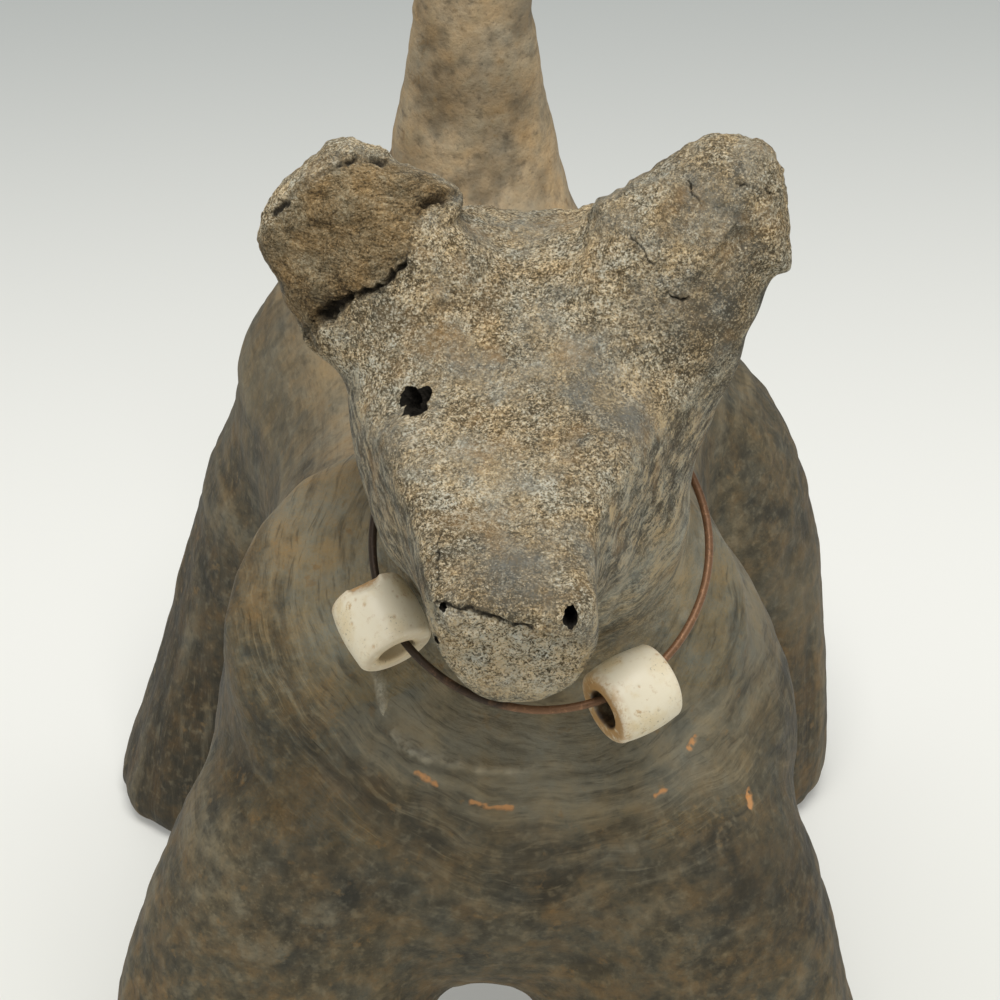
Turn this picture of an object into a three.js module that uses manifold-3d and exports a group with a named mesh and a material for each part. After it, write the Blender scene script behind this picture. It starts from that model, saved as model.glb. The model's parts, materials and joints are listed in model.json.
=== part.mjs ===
// Hand-modelled clay dog that wears a loose wire collar strung with two ceramic beads.
// Millimetres, +Z up. The dog faces -Y, so its own left side is +X. The soles stand on Z = 0.
// Ten clay pieces are rolled and pinched one by one, then pressed and luted together before firing.
import * as THREE from 'three';
import { mergeVertices } from 'three/addons/utils/BufferGeometryUtils.js';
import Module from 'manifold-3d';

// Torso: one thick roll of clay, full at the hips and shoulders and drawn in at the waist.
const TORSO_LENGTH = 115;
const TORSO_AXIS_HEIGHT = 52;
const CHEST_WIDTH = 42;
const CHEST_HEIGHT = 38;
const CHEST_ROUND = 15;
const SHOULDER_FROM_CHEST = 23;
const SHOULDER_WIDTH = 60;
const SHOULDER_HEIGHT = 49;
const SHOULDER_DROP = 1.5;
const WAIST_FROM_CHEST = 60;
const WAIST_WIDTH = 48;
const WAIST_HEIGHT = 38;
const HIP_FROM_RUMP = 23;
const HIP_WIDTH = 57;
const HIP_HEIGHT = 48;
const RUMP_WIDTH = 36;
const RUMP_HEIGHT = 32;
const RUMP_ROUND = 14;

// Legs: tapered stubs that splay towards flat soles. Each was set by hand, so the sides differ.
const FRONT_LEG_FROM_CHEST = 14;
const REAR_LEG_FROM_RUMP = 24;
const SOLE_WIDTH = 25;
const SOLE_DEPTH = 28;
const SOLE_ROUND = 3.5;
const KNEE_HEIGHT = 25;
const FRONT_KNEE_WIDTH = 33;
const REAR_KNEE_WIDTH = 27;
const FRONT_KNEE_DEPTH = 27;
const REAR_KNEE_DEPTH = 30;
const HAUNCH_HEIGHT = 45;
const HAUNCH_WIDTH = 29;
const FRONT_HAUNCH_DEPTH = 30;
const REAR_HAUNCH_DEPTH = 37;
const LEG_TOP_HEIGHT = 60;
const LEG_TOP_WIDTH = 24;
const LEG_TOP_LEAN = 6;
const LEG_TOP_ROUND = 10;
const FRONT_LEFT_FOOT_OUT = 29;
const FRONT_LEFT_KNEE_OUT = 19;
const FRONT_LEFT_HAUNCH_OUT = 15.8;
const FRONT_RIGHT_FOOT_OUT = 32;
const FRONT_RIGHT_KNEE_OUT = 24;
const FRONT_RIGHT_HAUNCH_OUT = 20;
const REAR_LEFT_FOOT_OUT = 30;
const REAR_LEFT_KNEE_OUT = 28;
const REAR_LEFT_HAUNCH_OUT = 23;
const REAR_RIGHT_FOOT_OUT = 32.5;
const REAR_RIGHT_KNEE_OUT = 23.5;
const REAR_RIGHT_HAUNCH_OUT = 17;

// Tail: a stout cone that stands straight up from the rump.
const TAIL_FROM_RUMP = 14;
const TAIL_ROOT_RISE = 8;
const TAIL_LENGTH = 64;
const TAIL_ROOT_WIDTH = 29;
const TAIL_LOW_ALONG = 14;
const TAIL_LOW_WIDTH = 23;
const TAIL_MIDDLE_ALONG = 34;
const TAIL_MIDDLE_WIDTH = 14.5;
const TAIL_TIP_WIDTH = 10;
const TAIL_TIP_ROUND = 4.5;

// Neck: leans forward out of the shoulders, with a waist where the collar lies.
const NECK_ROOT_FROM_CHEST = 29;
const NECK_ROOT_RISE = 13.5;
const NECK_TILT = 45;
const NECK_SIDE = 2.8;
const NECK_ROOT_WIDTH = 53;
const NECK_ROOT_DEPTH = 47;
const NECK_ROOT_FORWARD = 10.5;
const NECK_FLARE_WIDTH = 51;
const NECK_FLARE_DEPTH = 39;
const NECK_FLARE_FORWARD = 6.5;
const NECK_FLARE_SHIFT = 5;
const NECK_FLARE_BELOW_COLLAR = 13;
const NECK_COLLAR_WIDTH = 28;
const NECK_COLLAR_DEPTH = 25.2;
const NECK_COLLAR_LENGTH = 9;
const NECK_COLLAR_BELOW_SEAT = 18.5;
const NECK_SEAT_ALONG = 44.5;
const NECK_TOP_WIDTH = 26;
const NECK_TOP_DEPTH = 28;
const NECK_TOP_BACK = 2.5;
const NECK_TOP_REACH = 2;
const NECK_TOP_ROUND = 9;

// Head: a blunt wedge, broad at the ears, that narrows to a short square muzzle.
const HEAD_PITCH = 19;
const HEAD_TURN = 5.5;
const HEAD_SHIFT = 1.8;
const HEAD_BACK = 27;
const OCCIPUT_WIDTH = 30;
const OCCIPUT_HEIGHT = 13;
const OCCIPUT_ROUND = 6;
const SKULL_BACK = 12;
const SKULL_WIDTH = 35;
const SKULL_HEIGHT = 19.5;
const BROW_AHEAD = 2;
const BROW_WIDTH = 26;
const BROW_HEIGHT = 23;
const CHEEK_AHEAD = 13;
const CHEEK_WIDTH = 17.6;
const CHEEK_HEIGHT = 16;
const MUZZLE_AHEAD = 25;
const MUZZLE_WIDTH = 14.4;
const MUZZLE_HEIGHT = 13.2;
const MUZZLE_ROUND = 1.6;
const FACE_SHIFT = 1.5;
const TOP_LINE_RISE = 9.5;
const HEAD_SQUARENESS = 2.8;

// Face: eyes poked with a round stick, one left open and one filled, and two nostrils.
const EYE_DIAMETER = 2.9;
const RIGHT_EYE_OUT = 10.6;
const RIGHT_EYE_BACK = 1.1;
const RIGHT_EYE_DEPTH = 3.6;
const LEFT_EYE_OUT = 9.2;
const LEFT_EYE_BACK = 3;
const LEFT_EYE_DEPTH = 1.2;
const NOSTRIL_DIAMETER = 1.5;
const RIGHT_NOSTRIL_OUT = 5.4;
const LEFT_NOSTRIL_OUT = 4.4;
const NOSTRIL_BELOW_TOP = 2.2;
const NOSTRIL_DEPTH = 2.4;

// Ears: short thick stubs with blunt ends, pressed on to the sides of the skull.
const EAR_SPREAD = 20;
const EAR_RISE = 5.2;
const EAR_BACK = 12.5;
const LEFT_EAR_LEAN_OUT = 40;
const RIGHT_EAR_LEAN_OUT = 49;
const EAR_LEAN_BACK = 29;
const LEFT_EAR_LENGTH = 18;
const RIGHT_EAR_LENGTH = 18;
const EAR_ROOT_WIDTH = 21;
const EAR_ROOT_DEPTH = 13;
const EAR_TIP_WIDTH = 12.5;
const EAR_TIP_DEPTH = 9.5;
const EAR_TIP_ROUND = 3;

// Collar: one length of copper wire, closed behind the neck by twisting its ends together.
const WIRE_DIAMETER = 0.8;
const COLLAR_SIDE_CLEARANCE = 1.6;
const COLLAR_NAPE_CLEARANCE = 0.3;
const TWIST_TURNS = 1.5;
const TWIST_PITCH = 4.4;
const TWIST_STRAND_GAP = 0.3;
const TWIST_STANDOFF = 1.6;
const TWIST_DROOP = 37;
const TWIST_OPENING = 9;

// Beads: drum-shaped, with wide bores, so that each hangs a little askew on the wire.
const BEAD_DIAMETER = 8;
const BEAD_LENGTH = 6.8;
const BEAD_BORE = 4;
const BEAD_BULGE = 0.25;
const BEAD_RIM_ROUND = 1.1;
const BEAD_WIRE_CLEARANCE = 0.25;
const LEFT_BEAD_ANGLE = 29;
const LEFT_BEAD_TILT = 12;
const RIGHT_BEAD_ANGLE = -65;
const RIGHT_BEAD_TILT = -7;

// Slip-filled seam left between clay pieces.
const LUTING_GAP = 0.3;

const wasm = await Module();
wasm.setup();
const degrees = THREE.MathUtils.degToRad;

// Value of one measure of a lofted form, on a smooth curve that never swings past its stations.
function measureAt(stations, key, along) {
  const last = stations.length - 1;
  const place = THREE.MathUtils.clamp(along, stations[0].along, stations[last].along);
  const found = stations.findIndex((station) => station.along > place);
  const index = (found < 0 ? last : found) - 1;
  const [from, to] = [stations[index], stations[index + 1]];
  const rise = (at) => {
    const [below, above] = [stations[at], stations[at + 1]];
    return (above[key] - below[key]) / (above.along - below.along);
  };
  const slopeAt = (at) => {
    const before = rise(Math.max(at - 1, 0));
    const after = rise(Math.min(at, last - 1));
    return before * after > 0 ? 2 * before * after / (before + after) : 0;
  };
  const span = to.along - from.along;
  const t = (place - from.along) / span;
  const blend = t * t * (3 - 2 * t);
  const leave = t * (1 - t) * (1 - t) * span * slopeAt(index);
  const arrive = t * t * (1 - t) * span * slopeAt(index + 1);
  return from[key] + (to[key] - from[key]) * blend + leave - arrive;
}

// Clay form of rounded sections stacked along its own Z axis. Its end edges are rounded over.
// Growing it offsets the whole skin, which gives the cutter for a piece that seats against it.
function loft({ stations, startRound, endRound, squareness = 2, sides = 24, rows = 12 }, grow = 0) {
  const start = stations[0].along - grow;
  const end = stations[stations.length - 1].along + grow;
  const roundSteps = 4;
  const rings = [];
  const addRing = (along, inset) => {
    const reach = (key) => measureAt(stations, key, along) / 2 + grow - inset;
    rings.push({
      along,
      halfWidth: reach('wide'),
      halfHeight: reach('tall'),
      side: measureAt(stations, 'side', along),
      lift: measureAt(stations, 'lift', along),
    });
  };
  for (let step = 0; step < roundSteps; step += 1) {
    const turn = (step / roundSteps) * Math.PI / 2;
    addRing(start + (startRound + grow) * (1 - Math.cos(turn)), (startRound + grow) * (1 - Math.sin(turn)));
  }
  const bodyStart = start + startRound + grow;
  const bodyEnd = end - endRound - grow;
  for (let row = 0; row <= rows; row += 1) {
    addRing(bodyStart + (bodyEnd - bodyStart) * row / rows, 0);
  }
  for (let step = roundSteps - 1; step >= 0; step -= 1) {
    const turn = (step / roundSteps) * Math.PI / 2;
    addRing(end - (endRound + grow) * (1 - Math.cos(turn)), (endRound + grow) * (1 - Math.sin(turn)));
  }
  const squared = (value) => Math.sign(value) * Math.abs(value) ** (2 / squareness);
  const points = [];
  for (const ring of rings) {
    for (let side = 0; side < sides; side += 1) {
      const angle = 2 * Math.PI * side / sides;
      const x = ring.side + ring.halfWidth * squared(Math.cos(angle));
      const y = ring.lift + ring.halfHeight * squared(Math.sin(angle));
      points.push(x, y, ring.along);
    }
  }
  const faces = [];
  for (let ring = 0; ring + 1 < rings.length; ring += 1) {
    for (let side = 0; side < sides; side += 1) {
      const next = (side + 1) % sides;
      const [a, b] = [ring * sides + side, ring * sides + next];
      faces.push(a, b, b + sides, a, b + sides, a + sides);
    }
  }
  const first = rings[0];
  const final = rings[rings.length - 1];
  points.push(first.side, first.lift, first.along, final.side, final.lift, final.along);
  const startCentre = rings.length * sides;
  const topRing = startCentre - sides;
  for (let side = 0; side < sides; side += 1) {
    const next = (side + 1) % sides;
    faces.push(startCentre, next, side, startCentre + 1, topRing + side, topRing + next);
  }
  const geometry = new THREE.BufferGeometry();
  geometry.setAttribute('position', new THREE.Float32BufferAttribute(points, 3));
  geometry.setIndex(faces);
  return geometry;
}

// Station of a loft: where it lies along the axis, its width and height, and its centre's offset.
function station(along, wide, tall, { side = 0, lift = 0 } = {}) {
  return { along, wide, tall, side, lift };
}

// Closed geometry in the dog's frame as a solid that can be joined and cut.
function solid(geometry, placing = new THREE.Matrix4()) {
  const bare = geometry.clone().applyMatrix4(placing);
  bare.deleteAttribute('normal');
  bare.deleteAttribute('uv');
  const merged = mergeVertices(bare);
  const vertProperties = new Float32Array(merged.getAttribute('position').array);
  const triVerts = new Uint32Array(merged.getIndex().array);
  return new wasm.Manifold(new wasm.Mesh({ numProp: 3, vertProperties, triVerts }));
}

// Finished solid as a named mesh with a material of its own.
function piece(name, shape, finish) {
  const { vertProperties, triVerts } = shape.getMesh();
  const geometry = new THREE.BufferGeometry();
  geometry.setAttribute('position', new THREE.BufferAttribute(vertProperties, 3));
  geometry.setIndex(new THREE.BufferAttribute(triVerts, 1));
  geometry.computeVertexNormals();
  const mesh = new THREE.Mesh(geometry, new THREE.MeshStandardMaterial(finish));
  mesh.name = name;
  return mesh;
}

const bodyClay = { color: '#6e6555', roughness: 0.8, metalness: 0 };
const headClay = { color: '#938670', roughness: 0.85, metalness: 0 };
const earClay = { color: '#796c53', roughness: 0.82, metalness: 0 };
const wornCopper = { color: '#8a6a4c', roughness: 0.45, metalness: 0.9 };
const glazedWhite = { color: '#dcd3bc', roughness: 0.3, metalness: 0 };

// Torso, lofted from rump to chest along -Y.
const torsoForm = {
  stations: [
    station(0, RUMP_WIDTH, RUMP_HEIGHT),
    station(HIP_FROM_RUMP, HIP_WIDTH, HIP_HEIGHT),
    station(TORSO_LENGTH - WAIST_FROM_CHEST, WAIST_WIDTH, WAIST_HEIGHT),
    station(TORSO_LENGTH - SHOULDER_FROM_CHEST, SHOULDER_WIDTH, SHOULDER_HEIGHT, { lift: -SHOULDER_DROP }),
    station(TORSO_LENGTH, CHEST_WIDTH, CHEST_HEIGHT, { lift: -SHOULDER_DROP }),
  ],
  startRound: RUMP_ROUND,
  endRound: CHEST_ROUND,
  squareness: 2.2,
  rows: 14,
};
const torsoFrame = new THREE.Matrix4().makeRotationX(Math.PI / 2);
torsoFrame.setPosition(0, TORSO_LENGTH, TORSO_AXIS_HEIGHT);
const torso = solid(loft(torsoForm), torsoFrame);
const torsoSeat = solid(loft(torsoForm, LUTING_GAP), torsoFrame);

// Neck, whose upper end is the tenon that the head is pressed over.
const collarAlong = NECK_SEAT_ALONG - NECK_COLLAR_BELOW_SEAT;
const neckForm = {
  stations: [
    station(0, NECK_ROOT_WIDTH, NECK_ROOT_DEPTH, { side: -NECK_FLARE_SHIFT, lift: -NECK_ROOT_FORWARD }),
    station(collarAlong - NECK_FLARE_BELOW_COLLAR, NECK_FLARE_WIDTH, NECK_FLARE_DEPTH, {
      side: -NECK_FLARE_SHIFT,
      lift: -NECK_FLARE_FORWARD,
    }),
    station(collarAlong - NECK_COLLAR_LENGTH / 2, NECK_COLLAR_WIDTH, NECK_COLLAR_DEPTH),
    station(collarAlong + NECK_COLLAR_LENGTH / 2, NECK_COLLAR_WIDTH, NECK_COLLAR_DEPTH),
    station(NECK_SEAT_ALONG + NECK_TOP_REACH, NECK_TOP_WIDTH, NECK_TOP_DEPTH, { lift: NECK_TOP_BACK }),
  ],
  startRound: 0,
  endRound: NECK_TOP_ROUND,
  rows: 14,
};
const neckFrame = new THREE.Matrix4().makeRotationX(degrees(NECK_TILT));
neckFrame.setPosition(NECK_SIDE, NECK_ROOT_FROM_CHEST, TORSO_AXIS_HEIGHT + NECK_ROOT_RISE);
const neck = solid(loft(neckForm), neckFrame).subtract(torsoSeat);
const neckSeat = solid(loft(neckForm, LUTING_GAP), neckFrame);

// Legs, lofted upwards from the sole and cut where they are pressed against the torso and neck.
function leg(out, fromChest, kneeWidth, kneeDepth, haunchDepth) {
  const form = {
    stations: [
      station(0, SOLE_WIDTH, SOLE_DEPTH, { side: out.foot }),
      station(KNEE_HEIGHT, kneeWidth, kneeDepth, { side: out.knee }),
      station(HAUNCH_HEIGHT, HAUNCH_WIDTH, haunchDepth, { side: out.haunch }),
      station(LEG_TOP_HEIGHT, LEG_TOP_WIDTH, haunchDepth, { side: out.top }),
    ],
    startRound: SOLE_ROUND,
    endRound: LEG_TOP_ROUND,
    squareness: 2.2,
    sides: 20,
    rows: 8,
  };
  const legFrame = new THREE.Matrix4().makeTranslation(0, fromChest, 0);
  return solid(loft(form), legFrame).subtract(torsoSeat).subtract(neckSeat);
}
function stance(sideSign, foot, knee, haunch) {
  const top = haunch - LEG_TOP_LEAN;
  return { foot: sideSign * foot, knee: sideSign * knee, haunch: sideSign * haunch, top: sideSign * top };
}
function frontLeg(out) {
  return leg(out, FRONT_LEG_FROM_CHEST, FRONT_KNEE_WIDTH, FRONT_KNEE_DEPTH, FRONT_HAUNCH_DEPTH);
}
function rearLeg(out) {
  const fromChest = TORSO_LENGTH - REAR_LEG_FROM_RUMP;
  return leg(out, fromChest, REAR_KNEE_WIDTH, REAR_KNEE_DEPTH, REAR_HAUNCH_DEPTH);
}
const frontLeftOut = stance(1, FRONT_LEFT_FOOT_OUT, FRONT_LEFT_KNEE_OUT, FRONT_LEFT_HAUNCH_OUT);
const frontRightOut = stance(-1, FRONT_RIGHT_FOOT_OUT, FRONT_RIGHT_KNEE_OUT, FRONT_RIGHT_HAUNCH_OUT);
const rearLeftOut = stance(1, REAR_LEFT_FOOT_OUT, REAR_LEFT_KNEE_OUT, REAR_LEFT_HAUNCH_OUT);
const rearRightOut = stance(-1, REAR_RIGHT_FOOT_OUT, REAR_RIGHT_KNEE_OUT, REAR_RIGHT_HAUNCH_OUT);

// Tail, rooted in the rump and cut where it meets the torso.
const tailForm = {
  stations: [
    station(0, TAIL_ROOT_WIDTH, TAIL_ROOT_WIDTH),
    station(TAIL_LOW_ALONG, TAIL_LOW_WIDTH, TAIL_LOW_WIDTH),
    station(TAIL_MIDDLE_ALONG, TAIL_MIDDLE_WIDTH, TAIL_MIDDLE_WIDTH),
    station(TAIL_LENGTH, TAIL_TIP_WIDTH, TAIL_TIP_WIDTH),
  ],
  startRound: 0,
  endRound: TAIL_TIP_ROUND,
  sides: 20,
};
const tailFrame = new THREE.Matrix4();
tailFrame.setPosition(0, TORSO_LENGTH - TAIL_FROM_RUMP, TORSO_AXIS_HEIGHT + TAIL_ROOT_RISE);
const tail = solid(loft(tailForm), tailFrame).subtract(torsoSeat);

// Head, lofted from the back of the skull to the muzzle under a straight top line.
function headStation(along, wide, tall, side = 0) {
  return station(along, wide, tall, { side, lift: TOP_LINE_RISE - tall / 2 });
}
const headForm = {
  stations: [
    headStation(-HEAD_BACK, OCCIPUT_WIDTH, OCCIPUT_HEIGHT),
    headStation(-SKULL_BACK, SKULL_WIDTH, SKULL_HEIGHT),
    headStation(BROW_AHEAD, BROW_WIDTH, BROW_HEIGHT, -FACE_SHIFT),
    headStation(CHEEK_AHEAD, CHEEK_WIDTH, CHEEK_HEIGHT, -FACE_SHIFT),
    headStation(MUZZLE_AHEAD, MUZZLE_WIDTH, MUZZLE_HEIGHT),
  ],
  startRound: OCCIPUT_ROUND,
  endRound: MUZZLE_ROUND,
  squareness: HEAD_SQUARENESS,
  rows: 14,
};
const headFrame = new THREE.Matrix4().makeTranslation(-HEAD_SHIFT, 0, NECK_SEAT_ALONG).premultiply(neckFrame);
const headSeat = new THREE.Vector3().setFromMatrixPosition(headFrame);
headFrame.makeRotationZ(degrees(-HEAD_TURN));
headFrame.multiply(new THREE.Matrix4().makeRotationX(degrees(90 + HEAD_PITCH)));
headFrame.setPosition(headSeat);

// Height of the head's upper skin over its axis, at a place across and along it.
function headTop(across, along) {
  const halfWidth = measureAt(headForm.stations, 'wide', along) / 2;
  const halfHeight = measureAt(headForm.stations, 'tall', along) / 2;
  const fromMiddle = across - measureAt(headForm.stations, 'side', along);
  const share = 1 - Math.abs(fromMiddle / halfWidth) ** HEAD_SQUARENESS;
  return measureAt(headForm.stations, 'lift', along) + halfHeight * share ** (1 / HEAD_SQUARENESS);
}

// Round hole as left by a stick pushed in along -Y of its own frame.
function pokedHole(diameter, depth) {
  const standProud = 3;
  const hole = new THREE.CylinderGeometry(diameter / 2, diameter / 2, depth + standProud, 14);
  return hole.translate(0, (standProud - depth) / 2, 0);
}
function eye(across, along, depth) {
  const lean = Math.atan2(headTop(across - 0.5, along) - headTop(across + 0.5, along), 1);
  const placing = new THREE.Matrix4().makeRotationZ(-lean);
  placing.setPosition(across, headTop(across, along), along);
  return solid(pokedHole(EYE_DIAMETER, depth), placing.premultiply(headFrame));
}
function nostril(across) {
  const placing = new THREE.Matrix4().makeRotationX(Math.PI / 2);
  placing.setPosition(across, TOP_LINE_RISE - NOSTRIL_BELOW_TOP, MUZZLE_AHEAD);
  return solid(pokedHole(NOSTRIL_DIAMETER, NOSTRIL_DEPTH), placing.premultiply(headFrame));
}
const head = solid(loft(headForm), headFrame)
  .subtract(neckSeat)
  .subtract(eye(LEFT_EYE_OUT, -LEFT_EYE_BACK, LEFT_EYE_DEPTH))
  .subtract(eye(-RIGHT_EYE_OUT, -RIGHT_EYE_BACK, RIGHT_EYE_DEPTH))
  .subtract(nostril(LEFT_NOSTRIL_OUT))
  .subtract(nostril(-RIGHT_NOSTRIL_OUT));
const headSeatForEars = solid(loft(headForm, LUTING_GAP), headFrame);

// Ears, rooted inside the skull and cut where they meet its skin.
function ear(sideSign, leanOut, length) {
  const form = {
    stations: [
      station(0, EAR_ROOT_WIDTH, EAR_ROOT_DEPTH),
      station(length, EAR_TIP_WIDTH, EAR_TIP_DEPTH),
    ],
    startRound: 0,
    endRound: EAR_TIP_ROUND,
    squareness: 2.4,
    sides: 20,
    rows: 6,
  };
  const placing = new THREE.Matrix4().makeRotationZ(degrees(-sideSign * leanOut));
  placing.multiply(new THREE.Matrix4().makeRotationX(degrees(-90 - EAR_LEAN_BACK)));
  placing.setPosition(sideSign * EAR_SPREAD / 2, EAR_RISE, -EAR_BACK);
  return solid(loft(form), placing.premultiply(headFrame)).subtract(headSeatForEars);
}

// Collar frame: Z along the neck, -Y towards the throat, with the loop lying against the nape.
const collarRadius = NECK_COLLAR_WIDTH / 2 + COLLAR_SIDE_CLEARANCE + WIRE_DIAMETER / 2;
const napeReach = NECK_COLLAR_DEPTH / 2 + COLLAR_NAPE_CLEARANCE + WIRE_DIAMETER / 2;
const collar = new THREE.Group();
collar.position.set(0, napeReach - collarRadius, collarAlong).applyMatrix4(neckFrame);
collar.rotation.x = degrees(NECK_TILT);

// Wire: both ends leave the loop at the nape and wind round each other.
const twistDirection = new THREE.Vector3(0, Math.cos(degrees(TWIST_DROOP)), -Math.sin(degrees(TWIST_DROOP)));
const twistAcross = new THREE.Vector3(1, 0, 0);
const twistUp = new THREE.Vector3().crossVectors(twistDirection, twistAcross);
function strand(startAngle) {
  const stepsPerTurn = 10;
  const strandRadius = (WIRE_DIAMETER + TWIST_STRAND_GAP) / 2;
  const points = [];
  for (let step = 0; step <= TWIST_TURNS * stepsPerTurn; step += 1) {
    const angle = startAngle + 2 * Math.PI * step / stepsPerTurn;
    const point = new THREE.Vector3(0, collarRadius + TWIST_STANDOFF, 0);
    point.addScaledVector(twistDirection, TWIST_PITCH * step / stepsPerTurn);
    point.addScaledVector(twistAcross, strandRadius * Math.cos(angle));
    point.addScaledVector(twistUp, strandRadius * Math.sin(angle));
    points.push(point);
  }
  return points;
}
const loopPoints = [];
const loopSteps = 60;
for (let step = 0; step <= loopSteps; step += 1) {
  const angle = degrees(180 - TWIST_OPENING) * (1 - 2 * step / loopSteps);
  loopPoints.push(new THREE.Vector3(Math.sin(angle), -Math.cos(angle), 0).multiplyScalar(collarRadius));
}
const wirePath = new THREE.CatmullRomCurve3([...strand(0).reverse(), ...loopPoints, ...strand(Math.PI)]);
const wireSection = new THREE.Shape();
wireSection.absarc(0, 0, WIRE_DIAMETER / 2, 0, 2 * Math.PI);
const wireGeometry = new THREE.ExtrudeGeometry(wireSection, {
  extrudePath: wirePath,
  steps: 140,
  curveSegments: 4,
});
collar.add(piece('collar_wire', solid(wireGeometry), wornCopper));

// Beads: a closed profile with rounded rims, turned about the bore.
const beadProfile = new THREE.Path();
const rimEnd = BEAD_LENGTH / 2 - BEAD_RIM_ROUND;
const rimRadius = BEAD_DIAMETER / 2 - BEAD_BULGE - BEAD_RIM_ROUND;
const boreRound = BEAD_RIM_ROUND / 2;
const boreEnd = BEAD_LENGTH / 2 - boreRound;
const boreRim = BEAD_BORE / 2 + boreRound;
beadProfile.moveTo(BEAD_BORE / 2, -boreEnd);
beadProfile.absarc(boreRim, -boreEnd, boreRound, Math.PI, 1.5 * Math.PI);
beadProfile.absarc(rimRadius, -rimEnd, BEAD_RIM_ROUND, 1.5 * Math.PI, 2 * Math.PI);
beadProfile.quadraticCurveTo(BEAD_DIAMETER / 2 + BEAD_BULGE, 0, BEAD_DIAMETER / 2 - BEAD_BULGE, rimEnd);
beadProfile.absarc(rimRadius, rimEnd, BEAD_RIM_ROUND, 0, Math.PI / 2);
beadProfile.absarc(boreRim, boreEnd, boreRound, Math.PI / 2, Math.PI);
beadProfile.closePath();
const wireSag = collarRadius - Math.sqrt(collarRadius ** 2 - (BEAD_LENGTH / 2) ** 2);
const boreRoom = BEAD_BORE / 2 - WIRE_DIAMETER / 2 - BEAD_WIRE_CLEARANCE;
function addBead(name, angle, tilt) {
  const outline = beadProfile.getPoints(2);
  const geometry = new THREE.LatheGeometry(outline, 20).rotateZ(-Math.PI / 2);
  const bead = piece(name, solid(geometry), glazedWhite);
  const endRise = Math.tan(degrees(tilt)) * BEAD_LENGTH / 2;
  const hang = Math.sqrt(boreRoom ** 2 - endRise ** 2) - wireSag;
  bead.position.y = -collarRadius - hang;
  bead.rotation.y = degrees(tilt);
  const threading = new THREE.Group();
  threading.rotation.z = degrees(angle);
  threading.add(bead);
  collar.add(threading);
}
addBead('left_bead', LEFT_BEAD_ANGLE, LEFT_BEAD_TILT);
addBead('right_bead', RIGHT_BEAD_ANGLE, RIGHT_BEAD_TILT);

const dog = new THREE.Group();
dog.add(piece('torso', torso, bodyClay));
dog.add(piece('front_left_leg', frontLeg(frontLeftOut), bodyClay));
dog.add(piece('front_right_leg', frontLeg(frontRightOut), bodyClay));
dog.add(piece('rear_left_leg', rearLeg(rearLeftOut), bodyClay));
dog.add(piece('rear_right_leg', rearLeg(rearRightOut), bodyClay));
dog.add(piece('tail', tail, bodyClay));
dog.add(piece('neck', neck, bodyClay));
dog.add(piece('head', head, headClay));
dog.add(piece('left_ear', ear(1, LEFT_EAR_LEAN_OUT, LEFT_EAR_LENGTH), earClay));
dog.add(piece('right_ear', ear(-1, RIGHT_EAR_LEAN_OUT, RIGHT_EAR_LENGTH), earClay));
dog.add(collar);

// The origin is on the ground, under the middle of the whole figure.
const extent = new THREE.Box3().setFromObject(dog, true);
const middle = extent.getCenter(new THREE.Vector3());
dog.position.set(-middle.x, -middle.y, 0);

export default dog;
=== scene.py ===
import json
import math

import bmesh
import bpy
import numpy as np
from mathutils import Matrix, Vector, noise
from mathutils.bvhtree import BVHTree
from mathutils.kdtree import KDTree


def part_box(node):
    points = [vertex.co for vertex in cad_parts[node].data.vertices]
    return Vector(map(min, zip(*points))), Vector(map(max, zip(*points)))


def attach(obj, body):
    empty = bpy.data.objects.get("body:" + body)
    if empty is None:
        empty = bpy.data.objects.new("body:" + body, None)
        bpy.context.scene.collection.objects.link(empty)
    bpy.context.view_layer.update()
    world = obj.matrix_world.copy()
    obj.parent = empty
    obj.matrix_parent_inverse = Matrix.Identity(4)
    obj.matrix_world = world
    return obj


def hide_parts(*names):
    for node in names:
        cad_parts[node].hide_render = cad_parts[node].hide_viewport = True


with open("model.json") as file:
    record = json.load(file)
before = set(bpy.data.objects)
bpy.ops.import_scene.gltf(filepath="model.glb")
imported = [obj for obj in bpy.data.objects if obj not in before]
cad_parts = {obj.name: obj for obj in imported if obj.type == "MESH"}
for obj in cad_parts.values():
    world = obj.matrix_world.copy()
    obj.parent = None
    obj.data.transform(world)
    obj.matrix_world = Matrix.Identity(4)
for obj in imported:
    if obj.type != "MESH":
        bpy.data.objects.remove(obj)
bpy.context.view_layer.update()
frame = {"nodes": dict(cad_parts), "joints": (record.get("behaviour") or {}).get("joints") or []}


# Viewpoint. A long lens stands before the dog and looks down on it from 30 degrees.
# It is set so that the collar's ring falls on the pixel where the photograph has it.
IMAGE_SIDE = 1000
FOCAL_PIXELS = 4000
SENSOR_WIDTH = 36.0
CAMERA_AZIMUTH = math.radians(-2.5)
CAMERA_ELEVATION = math.radians(30.0)
COLLAR_DISTANCE = 0.380
COLLAR_PIXEL = (541, 545)

joints = {joint["name"]: joint for joint in frame["joints"]}
collar_centre = Vector(joints["left_bead_slide"]["pos_m"])
collar_axis = Vector(joints["left_bead_slide"]["axis"]).normalized()
camera_right = Vector((math.cos(CAMERA_AZIMUTH), math.sin(CAMERA_AZIMUTH), 0))
camera_back = Vector((
    math.sin(CAMERA_AZIMUTH) * math.cos(CAMERA_ELEVATION),
    -math.cos(CAMERA_AZIMUTH) * math.cos(CAMERA_ELEVATION),
    math.sin(CAMERA_ELEVATION),
))
camera_up = camera_back.cross(camera_right)


def toward_pixel(x, y):
    """Sight line through a pixel of the photograph, one unit long along the lens."""
    across = (x - IMAGE_SIDE / 2) / FOCAL_PIXELS
    upward = (IMAGE_SIDE / 2 - y) / FOCAL_PIXELS
    return camera_right * across + camera_up * upward - camera_back


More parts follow.
